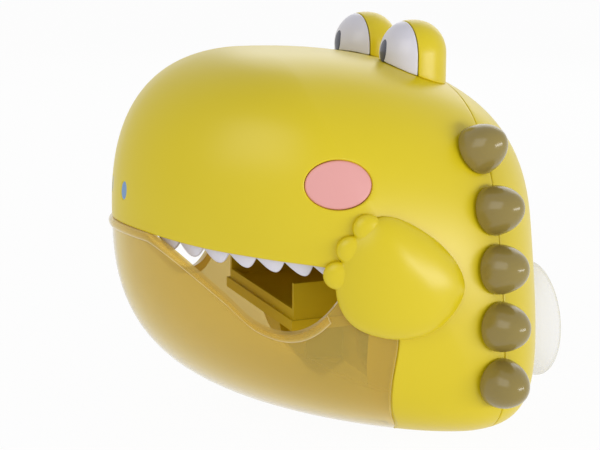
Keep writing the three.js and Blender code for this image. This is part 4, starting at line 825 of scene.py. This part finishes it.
def mouth_stations(end_y, steps, height_at):
    """Places along the mouth, from the right corner round the snout to the left one."""
    share = 2 * np.arange(steps + 1) / steps - 1
    z = np.full(steps + 1, NOSE_HEIGHT)
    for _ in range(8):
        front_y, _, middle, _ = slice_at(z)
        end_share = np.clip((middle - end_y) / (middle - front_y), 0, 1)
        end_turn = np.arccos(end_share ** (NOSE_ALONG / 2))
        turn = -np.pi / 2 + share * end_turn
        z = height_at(skin_points(z, turn)[:, 1])
    return turn, z


rim_curve = through(RIM_LINE, 8)
mouth_gap = np.vstack([[rim_curve[0, 0], ABOVE_HEAD], rim_curve, [rim_curve[-1, 0], ABOVE_HEAD]])


def tank_region(points):
    """Above zero in the jaw below the mouth, and low in the head where the trough stands."""
    jaw = np.minimum(-beside(lip_curve, points[:, 1], points[:, 2]) - GAP,
                     -beside(mouth_gap, points[:, 1], points[:, 2]))
    trough = np.minimum.reduce([
        TROUGH_HALF - np.abs(points[:, 0]), TROUGH_REAR - points[:, 1], TROUGH_SKIN - points[:, 2]])
    return np.maximum(jaw, trough) - TANK_EDGE


def bead_height(y):
    first_y, first_z = rim_curve[0]
    drop = lip_height(first_y) - GAP - first_z
    ahead = lip_height(y) - GAP - drop * np.clip((y - NOSE_Y) / (first_y - NOSE_Y), 0, 1)
    return np.where(y <= first_y, ahead, np.interp(y, rim_curve[:, 0], rim_curve[:, 1]))


tank_wall = with_wall(trim(head_sheet(), tank_region), WALL, TANK_EDGE)
bead_turn, bead_z = mouth_stations(BEAD_END_Y, BEAD_STEPS, bead_height)
bead_rings = []
for angle in 2 * math.pi * np.arange(BEAD_AROUND) / BEAD_AROUND:
    swell = BEAD_LEAN + math.cos(angle)
    out = BEAD_OUT * swell / (1 + BEAD_LEAN) if swell > 0 else -BEAD_IN
    low = BEAD_HIGH * (0.5 - 0.5 * math.sin(angle))
    bead_rings.append(skin_points(bead_z - low, bead_turn, -out))
bead = loft(np.stack(bead_rings, 1))
trough_inner = TROUGH_HALF - WALL
trough_walls = []
for x0, x1, y0 in ((-TROUGH_HALF, -trough_inner, TROUGH_FRONT), (trough_inner, TROUGH_HALF, TROUGH_FRONT),
                   (-trough_inner, trough_inner, TROUGH_REAR - WALL)):
    corners = [(x0, y0), (x1, y0), (x1, TROUGH_REAR), (x0, TROUGH_REAR)]
    trough_walls.append(loft([
        [(x, y, z) for x, y in corners] for z in (WALL, TROUGH_HEIGHT - TROUGH_RIM, TROUGH_HEIGHT)]))
tank_piece = solid_object("tank_moulding", *joined(tank_wall, bead, *trough_walls), amber_tank, sharp=50)
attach(tank_piece, "head")
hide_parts("tank")


# Teeth: one white strip that follows the lip inside, with a sharp notch between round teeth.
# Where the mouth is shut, at the snout, its edge stays hidden.
TEETH_PITCH, FIRST_NOTCH_X, TEETH_DROP, TEETH_ROOT = 10.24, 30.6, 5.2, 1.0
TEETH_HIDDEN, TEETH_THICK, TEETH_END_Y, TEETH_INSET, TEETH_ARCH = 4.0, 1.8, -27.0, 3.4, 1.1
TEETH_STEPS, TEETH_ROUND = 640, 1.3
TEETH_SECTION = [
    # share of the drop, or -1 for the hidden top, and share of the thickness
    (-1, 0), (0.55, 0), (0.86, 0.12), (1, 0.38), (1, 0.62), (0.86, 0.88), (0.55, 1), (-1, 1)]

teeth_turn, teeth_z = mouth_stations(TEETH_END_Y, TEETH_STEPS, lip_height)
teeth_points = skin_points(teeth_z, teeth_turn)
teeth_mid = TEETH_STEPS // 2
teeth_run = np.concatenate([[0], np.cumsum(np.linalg.norm(np.diff(teeth_points, axis=0), axis=1))])
teeth_reach = np.abs(teeth_run - teeth_run[teeth_mid])
first_notch = teeth_reach[teeth_mid + int(np.argmax(teeth_points[teeth_mid:, 0] >= FIRST_NOTCH_X))]
teeth_phase = (teeth_reach - (first_notch - TEETH_PITCH)) / TEETH_PITCH
teeth_arch = np.abs(np.sin(np.pi * teeth_phase)) ** TEETH_ARCH
teeth_hang = np.where(teeth_phase > 0, TEETH_ROOT + (TEETH_DROP - TEETH_ROOT) * teeth_arch, -GAP)
teeth_rings = []
for drop, inset in TEETH_SECTION:
    edge_z = teeth_z + TEETH_HIDDEN if drop < 0 else teeth_z - teeth_hang + (1 - drop) * TEETH_ROUND
    teeth_rings.append(skin_points(edge_z, teeth_turn, TEETH_INSET + inset * TEETH_THICK))
white_plastic = moulded("white_plastic", (226, 224, 236), 0.3, grain=0.03, second=(222, 220, 232))
tooth_row = solid_object("tooth_row_moulding", *loft(np.stack(teeth_rings, 1)), white_plastic, sharp=60)
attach(tooth_row, "head")
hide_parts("tooth_row")


# Eyes: two upright domes on the head, each with a white front and a yellow cap behind it.
# The two halves meet at an upright joint, and a dark oval pupil is set in the white one.
EYE_RADIUS, EYE_X, EYE_Y, EYE_FOOT_Z, EYE_TOP, EYE_SPLIT_Y = 12.2, 20.9, 22.35, 104.0, 148.3, 18.95
EYE_WALL, EYE_EDGE, EYE_DOME, EYE_STEPS = 2.0, 0.4, 0.9, 26
PUPIL_WIDE, PUPIL_HIGH, PUPIL_Z, PUPIL_AHEAD = 2.4, 3.9, 137.5, 4.0
PUPIL_PROUD, PUPIL_THICK, PUPIL_EDGE = 0.12, 1.0, 0.2


def eye_sheet(side, grow=0.0):
    radius = EYE_RADIUS + grow
    shoulder = EYE_TOP - EYE_RADIUS
    profile = [(radius, z) for z in np.linspace(EYE_FOOT_Z, shoulder, EYE_STEPS)]
    profile += dome(radius, shoulder, radius, EYE_DOME, 1, EYE_STEPS)
    return sheet_of(*lathe(profile, 96, (side * EYE_X, EYE_Y, 0), (0, 0, 1)))


def eye_half(side, behind):
    """The wall of an eye above the head's skin, on one side of the joint: 1 behind it, -1 before it."""
    half = trim(eye_sheet(side), lambda p: skin_distance(p) - GAP - EYE_EDGE / 2)
    trim(half, lambda p: behind * (p[:, 1] - EYE_SPLIT_Y) - GAP / 2 - EYE_EDGE)
    return with_wall(half, EYE_WALL, EYE_EDGE)


def onto_eye(points, side, grow):
    """Moves points near an eye's wall onto it, level by level."""
    centre = np.array([side * EYE_X, EYE_Y, 0])
    flat = (points - centre) * [1, 1, 0]
    rise = np.clip((points[:, 2] - EYE_TOP + EYE_RADIUS) / (EYE_RADIUS + grow), 0, 0.999)
    reach = (EYE_RADIUS + grow) * np.cos(np.arcsin(rise)) ** EYE_DOME
    out = centre + flat * (reach / np.linalg.norm(flat, axis=1))[:, None]
    out[:, 2] = points[:, 2]
    return out


def in_pupil(points, side):
    """Above zero in the oval that the pupil covers, on the front of an eye."""
    inside = -oval(points[:, 0] - side * EYE_X, points[:, 2] - PUPIL_Z, PUPIL_WIDE, PUPIL_HIGH)
    return np.where(points[:, 1] < EYE_Y - PUPIL_AHEAD, inside, -FAR_AWAY)


pupil_dark = moulded("pupil_dark", (70, 72, 92), 0.22, grain=0.02, cloud=0.02)
for side, hand in SIDES:
    eye_cap = solid_object(f"eye_cap_{hand}_moulding", *eye_half(side, 1), yellow_shell)
    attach(eye_cap, "head")
    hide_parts(f"eye_cap_{hand}")
    eye_white = solid_object(f"eye_white_{hand}_moulding", *eye_half(side, -1), white_plastic)
    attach(eye_white, "head")
    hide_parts(f"eye_white_{hand}")
    pupil_sheet = eye_sheet(side, PUPIL_PROUD)
    refine(pupil_sheet, (side * EYE_X, EYE_Y - EYE_RADIUS, PUPIL_Z), radius=6, times=1,
           settle=lambda p: onto_eye(p, side, PUPIL_PROUD))
    trim(pupil_sheet, lambda p: in_pupil(p, side))
    pupil = solid_object(f"pupil_{hand}_inlay", *with_wall(pupil_sheet, PUPIL_THICK, PUPIL_EDGE), pupil_dark)
    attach(pupil, "head")
    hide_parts(f"pupil_{hand}")


# Cheeks: two pink ovals, a little below the yellow skin, with soft edges.
# The left one is the push button and rides on its own body; the right one is fixed.
CHEEK_SUNK, CHEEK_DEPTH, CHEEK_EDGE = 0.45, 3.9, 0.7
CHEEK_FLANGE, FLANGE_TOP, FLANGE_LOW, FLANGE_LEAST = 1.4, 3.6, 4.4, 0.05
STEM_RADIUS, STEM_END = 2.0, 6.4
SEARCH_DOWN, SEARCH_UP, CENTRE_SHARE = 14.0, 6.0, 0.06


def oval_ring(seat, long, high, around):
    """A ring of points round an oval in the plane of a seat: its foot, its two axes and its normal."""
    foot, along, up, _ = seat
    turn = 2 * np.pi * np.arange(around) / around
    return foot + np.outer(long * np.cos(turn), along) + np.outer(high * np.sin(turn), up)


def under_skin(base, normal, sunk):
    """Points of a plane drawing, dropped on the skin along the plane's normal."""
    low, high = np.full(len(base), -SEARCH_DOWN), np.full(len(base), SEARCH_UP)
    reach = meets_skin(low, high, lambda value: base + value[:, None] * normal)
    return base + (reach[:, None] - sunk) * normal


def inlay(seat, long, high, sunk, depth, edge, around=72, rings=12, steps=5):
    """An oval plug: a face that follows the skin, a round edge and a straight side."""
    normal = seat[3]
    rows = []
    for share in np.linspace(CENTRE_SHARE, 1, rings):
        base = oval_ring(seat, (long - edge) * share, (high - edge) * share, around)
        rows.append(under_skin(base, normal, sunk))
    for k in range(1, steps + 1):
        angle = math.pi / 2 * k / steps
        grow = edge * math.sin(angle)
        base = oval_ring(seat, long - edge + grow, high - edge + grow, around)
        rows.append(under_skin(base, normal, sunk + edge * (1 - math.cos(angle))))
    rows.append(oval_ring(seat, long, high, around) - depth * normal)
    return loft(np.array(rows))


def flange_disc(seat, long, high, top, low, around=72, rings=8):
    """A flat oval plate behind the shell's wall, thinner where the wall comes close."""
    normal = seat[3]
    rows = []
    for share in np.linspace(CENTRE_SHARE, 1, rings):
        base = oval_ring(seat, long * share, high * share, around)
        fall = (base - under_skin(base, normal, 0)) @ normal
        depth = np.clip(fall + WALL + GAP, top, low - FLANGE_LEAST)
        rows.append(base - depth[:, None] * normal)
    rows.append(base - low * normal)
    return loft(np.array(rows))


cheek_pink = moulded("cheek_pink", (236, 170, 166), 0.42, second=(231, 163, 160))
stem = lathe(pin(STEM_RADIUS, FLANGE_TOP, STEM_END), 32, cheek_foot, -cheek_normal)
for side, body, node in ((1, "power_button", "power_button"), (-1, "head", "cheek_inlay")):
    seat = on_side(cheek_foot, cheek_normal, side)
    plug = inlay(seat, CHEEK_LONG, CHEEK_HIGH, CHEEK_SUNK, CHEEK_DEPTH, CHEEK_EDGE)
    flange = flange_disc(
        seat, CHEEK_LONG + CHEEK_FLANGE, CHEEK_HIGH + CHEEK_FLANGE, FLANGE_TOP, FLANGE_LOW)
    solids = [plug, flange, stem] if side > 0 else [plug, flange]
    cheek = solid_object(f"{node}_plug", *joined(*solids), cheek_pink, sharp=50)
    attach(cheek, body)
    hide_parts(node)


# Nostrils: two small blue ovals at the snout.
# Each is a plug that is set almost flush in the yellow shell.
NOSTRIL_SUNK, NOSTRIL_DEPTH, NOSTRIL_EDGE = 0.15, 4.0, 0.3

nostril_blue = moulded("nostril_blue", (120, 158, 205), 0.4, grain=0.03)
for side, hand in SIDES:
    seat = (np.array([side * NOSTRIL_X, nostril_foot[1], NOSTRIL_Z]), np.array([1.0, 0, 0]),
            np.array([0, 0, 1.0]), np.array([0, -1.0, 0]))
    plug = inlay(seat, NOSTRIL_WIDE, NOSTRIL_HIGH, NOSTRIL_SUNK, NOSTRIL_DEPTH, NOSTRIL_EDGE, 48, 6)
    nostril = solid_object(f"nostril_{hand}_inlay", *plug, nostril_blue, sharp=50)
    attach(nostril, "head")
    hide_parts(f"nostril_{hand}")


# Paws: two puffed yellow pads that lie on the sides of the head, each with three fingertips.
# A fine dark joint shows round each pad, where it stands a little off the skin.
PAW_OUTLINE = [
    (-9.6, 87.6), (-21.2, 82.2), (-27.1, 64.8), (-21.2, 50.2), (-6.5, 44.6), (7.5, 48.5), (17.1, 61.7),
    (8.9, 76.4)]
PAW_RISE, PAW_EDGE, PAW_STEPS, PAW_SPACING, PAW_SWELL, PAW_ROUND = 7.5, 1.6, 27, 0.85, 2.4, 0.6
PAW_FOOT = [
    # share of the outline, and rise above the skin, of the pad's hollow underside and its edge
    (0.5, 2 * GAP), (0.95, 1.3 * GAP), (0.985, 0.35 + GAP), (1, 0.8 + GAP), (1.003, GAP + PAW_EDGE)]
PAW_FINGERS = [(-17.6, 84.0), (-22.6, 76.8), (-26.2, 68.0)]
FINGER_RADIUS, FINGER_RISE, FINGER_SUNK, FINGER_FOOT = 5.0, 3.6, 0.3, 0.9


def closed_curve(points, steps):
    """A smooth curve that comes back to its start."""
    points = np.array(points, float)
    row = through(np.vstack([points[-2:], points, points[:3]]), steps)
    return row[2 * steps:(2 + len(points)) * steps]


def united(name, material, *solids):
    """Closed solids made into one, without the faces that lie inside."""
    parts = [solid_object(f"{name}_part_{k}", *solid) for k, solid in enumerate(solids)]
    base = parts[0]
    for other in parts[1:]:
        union = base.modifiers.new("join", "BOOLEAN")
        union.operation = "UNION"
        union.solver = "EXACT"
        union.object = other
    graph = bpy.context.evaluated_depsgraph_get()
    mesh = bpy.data.meshes.new_from_object(base.evaluated_get(graph))
    for part in parts:
        bpy.data.objects.remove(part)
    mesh.name = name
    mesh.materials.clear()
    return new_object(name, mesh, material)


def pad_ring(share, rise):
    """The pad's outline drawn in to a share of its size, at a rise above the skin."""
    y, z = (paw_centre + (paw_edge - paw_centre) * share).T
    return np.stack([skin_side(y, z) + rise, y, z], 1)


paw_edge = closed_curve(PAW_OUTLINE, 12)
paw_centre = paw_edge.mean(0)
paw_rows = [pad_ring(share, rise) for share, rise in PAW_FOOT]
for step in range(1, PAW_STEPS):
    share = math.cos(math.pi / 2 * step / PAW_STEPS) ** PAW_SPACING
    swell = (1 - share ** PAW_SWELL) ** PAW_ROUND
    paw_rows.append(pad_ring(share, GAP + PAW_EDGE + (PAW_RISE - PAW_EDGE) * swell))
paw_solids = [loft(np.array(paw_rows))]
finger_profile = [(0, FINGER_SUNK), (FINGER_RADIUS * 0.93, FINGER_SUNK), (FINGER_RADIUS, FINGER_FOOT)]
finger_profile += dome(FINGER_RADIUS, FINGER_FOOT, FINGER_RISE - FINGER_FOOT, 0.8, 0.9, 14)
for y, z in PAW_FINGERS:
    paw_solids.append(lathe(finger_profile, 40, *skin_normal(y, z)))
for side, hand in SIDES:
    paw = united(f"paw_{hand}_pad", yellow_shell, *[mirrored(*solid, side) for solid in paw_solids])
    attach(paw, "head")
    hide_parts(f"paw_{hand}")


# Spikes: five blunt glossy cones on each side, moulded on a band that the seam clamps.
# Each stands a hair above the skin, so a dark ring shows round its foot.
SPIKE_COUNT, SPIKE_TOP_Z, SPIKE_PITCH = 5, 104.9, 19.85
SPIKE_RADIUS, SPIKE_LIFT, SPIKE_HEIGHT, SPIKE_POWER, SPIKE_FOOT = 8.8, 0.4, 13.5, 1.9, 0.5
SPIKE_NECK, SPIKE_NECK_DEPTH, SPIKE_NECK_TOP = 3.5, 4.8, 1.2
SPIKE_AHEAD, SPIKE_TOP_AHEAD = 2.8, 2.8
BAND_HALF, BAND_THICK, BAND_INSET = 7.0, 1.8, 3.4

olive_plastic = moulded(
    "olive_plastic", (150, 132, 68), 0.2, grain=0.02, second=(143, 125, 62), gloss_change=0.04)
spike_foot = SPIKE_LIFT + SPIKE_FOOT
spike_profile = [
    (0, SPIKE_LIFT), (SPIKE_RADIUS - 0.5, SPIKE_LIFT), (SPIKE_RADIUS - 0.12, SPIKE_LIFT + 0.15),
    (SPIKE_RADIUS, spike_foot)]
spike_profile += dome(
    SPIKE_RADIUS, spike_foot, SPIKE_HEIGHT - SPIKE_LIFT - SPIKE_FOOT, 2 / SPIKE_POWER, 2 / SPIKE_POWER, 26)
spikes = []
for k in range(SPIKE_COUNT):
    z = SPIKE_TOP_Z - k * SPIKE_PITCH
    spikes.append(lathe(
        pin(SPIKE_NECK, -SPIKE_NECK_DEPTH, SPIKE_NECK_TOP), 40, *skin_normal(SEAM_Y, z)))
    ahead = SPIKE_AHEAD + (SPIKE_TOP_AHEAD if k == 0 else 0)
    spikes.append(lathe(spike_profile, 64, *skin_normal(SEAM_Y - ahead, z)))
band_reach = SPIKE_NECK + BAND_THICK
band_low, band_high = SPIKE_TOP_Z - (SPIKE_COUNT - 1) * SPIKE_PITCH - band_reach, SPIKE_TOP_Z + band_reach
band_section = [
    (y, inset) for inset in (BAND_INSET, BAND_INSET + BAND_THICK)
    for y in (SEAM_Y - BAND_HALF, SEAM_Y, SEAM_Y + BAND_HALF)]
band_section[3:] = band_section[:2:-1]
band_points, band_faces = loft([
    [(float(skin_side(y, z)) - inset, y, z) for y, inset in band_section]
    for z in np.linspace(band_low, band_high, 40)])
band = (band_points, [tuple(reversed(f)) for f in band_faces])
for side, hand in SIDES:
    parts = [mirrored(*solid, side) for solid in (band, *spikes)]
    strip = united(f"spike_strip_{hand}_moulding", olive_plastic, *parts)
    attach(strip, "head")
    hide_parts(f"spike_strip_{hand}")


# Suction cup: one turned piece of soft clear vinyl, with a thin lip that presses on the wall.
# Its stud is pushed through a hole low in the rear shell.
CUP_FACE_Y, CUP_RADIUS, CUP_RIM, CUP_DEPTH = 87.6, 23.4, 2.2, 4.8
CUP_SHOULDER, CUP_HEAD, STUD_PLAY = 8.0, 6.2, 1.6
# Pairs of a radius and a distance ahead of the stud's seat or of the cup's face.
CUP_STUD = [
    (0, 3), (4.0, 2.9), (CUP_HEAD - 0.6, 2.3), (CUP_HEAD, 1.6), (CUP_HEAD, 0.5), (CUP_HEAD - 0.5, 0),
    (CUP_NECK, 0)]
CUP_OUTSIDE = [
    (CUP_SHOULDER, 9.2), (CUP_SHOULDER + 1.4, 7.0), (CUP_RADIUS * 0.7, 4.3), (CUP_RADIUS - 1.6, 1.5),
    (CUP_RADIUS, 0.45)]
CUP_LIP = [(CUP_RADIUS, 0.15), (CUP_RADIUS - 0.25, 0), (CUP_RADIUS - CUP_RIM + 0.3, 0)]
CUP_INSIDE = [
    (CUP_RADIUS - CUP_RIM, 0.25), (CUP_RADIUS * 0.75, 1.9), (CUP_RADIUS * 0.45, CUP_DEPTH * 0.8),
    (0, CUP_DEPTH)]


def ahead_of(y, pairs):
    return [(radius, y - distance) for radius, distance in pairs]


skin_back = back_of(0, CUP_Z + CUP_SHOULDER)
stud_seat = back_of(0, CUP_Z - CUP_HEAD) - WALL - STUD_PLAY
cup_profile = ahead_of(stud_seat, CUP_STUD) + [
    (CUP_NECK, skin_back + GAP), (CUP_SHOULDER - 0.5, skin_back + GAP), (CUP_SHOULDER, skin_back + 0.8)]
cup_profile += [tuple(p) for p in through(ahead_of(CUP_FACE_Y, CUP_OUTSIDE), 8)]
cup_profile += ahead_of(CUP_FACE_Y, CUP_LIP)
cup_profile += [tuple(p) for p in through(ahead_of(CUP_FACE_Y, CUP_INSIDE), 8)]
# The cup's grey edges are a painted shade, standing for the outline that a clear rim shows.
clear_cup = clear_plastic("clear_cup", (254, 254, 254), (246, 246, 246), (226, 226, 224), 0.06, 0.1)
suction_cup = solid_object(
    "suction_cup_vinyl", *lathe(cup_profile, 96, (0, 0, CUP_Z), (0, 1, 0)), clear_cup, sharp=45)
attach(suction_cup, "head")
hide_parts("suction_cup")


# Wand wheel: four rings on a hub, moulded in one piece of brown plastic.
# Fine ridges inside each ring hold the film of solution.
WHEEL_Y, WHEEL_Z, WHEEL_HALF, WHEEL_PITCH, WHEEL_RINGS = 17.0, 41.0, 2.5, 19.0, 4
RING_OUTER, RING_INNER, RING_RIDGES, RIDGE = 12.5, 8.25, 24, 0.45
RING_ROUND, RIDGE_ROUND, HUB_RADIUS, HUB_ROUND, AXLE_BORE = 0.7, 0.6, 7.2, 0.6, 1.6


def half_section(inner, outer, inner_round, outer_round):
    """The rear half of a ring's section, as pairs of radius and place along the axle."""
    return [(outer, WHEEL_HALF - outer_round), (outer - outer_round, WHEEL_HALF),
            (inner + inner_round, WHEEL_HALF), (inner, WHEEL_HALF - inner_round)]


def wand_ring(x, z):
    """A ring with a rounded section and ridges across its inside."""
    rows = []
    for turn in 2 * math.pi * np.arange(RING_RIDGES * 4) / (RING_RIDGES * 4):
        inner = RING_INNER + RIDGE * (0.5 + 0.5 * math.cos(RING_RIDGES * turn))
        rear_half = half_section(inner, RING_OUTER, RIDGE_ROUND, RING_ROUND)
        section = [(r, -y) for r, y in reversed(rear_half)] + rear_half
        rows.append([(x + r * math.cos(turn), WHEEL_Y + y, z + r * math.sin(turn)) for r, y in section])
    points, faces = loft(rows + rows[:1], closed_ends=False)
    count = len(points) - len(section)
    return points[:count], [tuple(i % count for i in f)[::-1] for f in faces]


hub_rear = [
    (HUB_RADIUS, WHEEL_HALF - HUB_ROUND), (HUB_RADIUS - HUB_ROUND, WHEEL_HALF), (AXLE_BORE, WHEEL_HALF)]
hub_profile = [(r, -y) for r, y in reversed(hub_rear)] + hub_rear + [(AXLE_BORE, -WHEEL_HALF)]
wheel_parts = [lathe(hub_profile, 64, (0, WHEEL_Y, WHEEL_Z), (0, 1, 0))]
for k in range(WHEEL_RINGS):
    turn = 2 * math.pi * k / WHEEL_RINGS
    wheel_parts.append(wand_ring(WHEEL_PITCH * math.cos(turn), WHEEL_Z + WHEEL_PITCH * math.sin(turn)))
wand_plastic = moulded("wand_plastic", (150, 116, 60), 0.3, second=(140, 106, 52))
wheel = united("wand_wheel_moulding", wand_plastic, *wheel_parts)
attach(wheel, "wand")
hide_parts("wand_wheel")


# Inner parts that keep the frame's own shapes: walls, chute, gears, motors, cells and leads.
# Each gets its finish, and all but the rubber ones a small round on their edges.
INNER_LOOKS = [
    # slot, colour, second colour, roughness, grain, round on the edges in millimetres
    ("inner_plastic", (226, 202, 30), (220, 194, 22), 0.45, 0.08, 0.35),
    ("nylon", (240, 238, 228), None, 0.48, 0.08, 0.12),
    ("black_rubber", (42, 42, 44), None, 0.75, 0.2, 0.0),
    ("black_plastic", (36, 36, 38), None, 0.5, 0.1, 0.15),
    ("board_green", (40, 104, 58), (30, 86, 46), 0.4, 0.05, 0.1),
    ("cell_jacket", (58, 62, 72), (50, 54, 64), 0.3, 0.02, 0.4),
    ("steel", (196, 196, 200), None, 0.28, 0.03, 0.12),
    ("motor_can", (202, 202, 206), None, 0.34, 0.05, 0.5)]
METAL = {"grain_size": 0.3, "Metallic": 1.0}
BEVEL_STEPS, BEVEL_ANGLE = 2, 40

finishes = {}
for slot, colour, second, roughness, grain, round_edge in INNER_LOOKS:
    metal = METAL if slot in ("steel", "motor_can") else {}
    finishes[slot] = moulded(slot, colour, roughness, grain, second=second, **metal), round_edge
for part in frame["record"]["subparts"]:
    finish = finishes.get(part["material_slot"])
    node = frame["nodes"][part["node"]]
    if finish is None or node.hide_render:
        continue
    material, round_edge = finish
    node.data.materials.clear()
    node.data.materials.append(material)
    node.data.shade_smooth()
    if round_edge:
        bevel = node.modifiers.new("edges", "BEVEL")
        bevel.width = round_edge * MM
        bevel.segments = BEVEL_STEPS
        bevel.limit_method = "ANGLE"
        bevel.angle_limit = math.radians(BEVEL_ANGLE)
        bevel.harden_normals = True
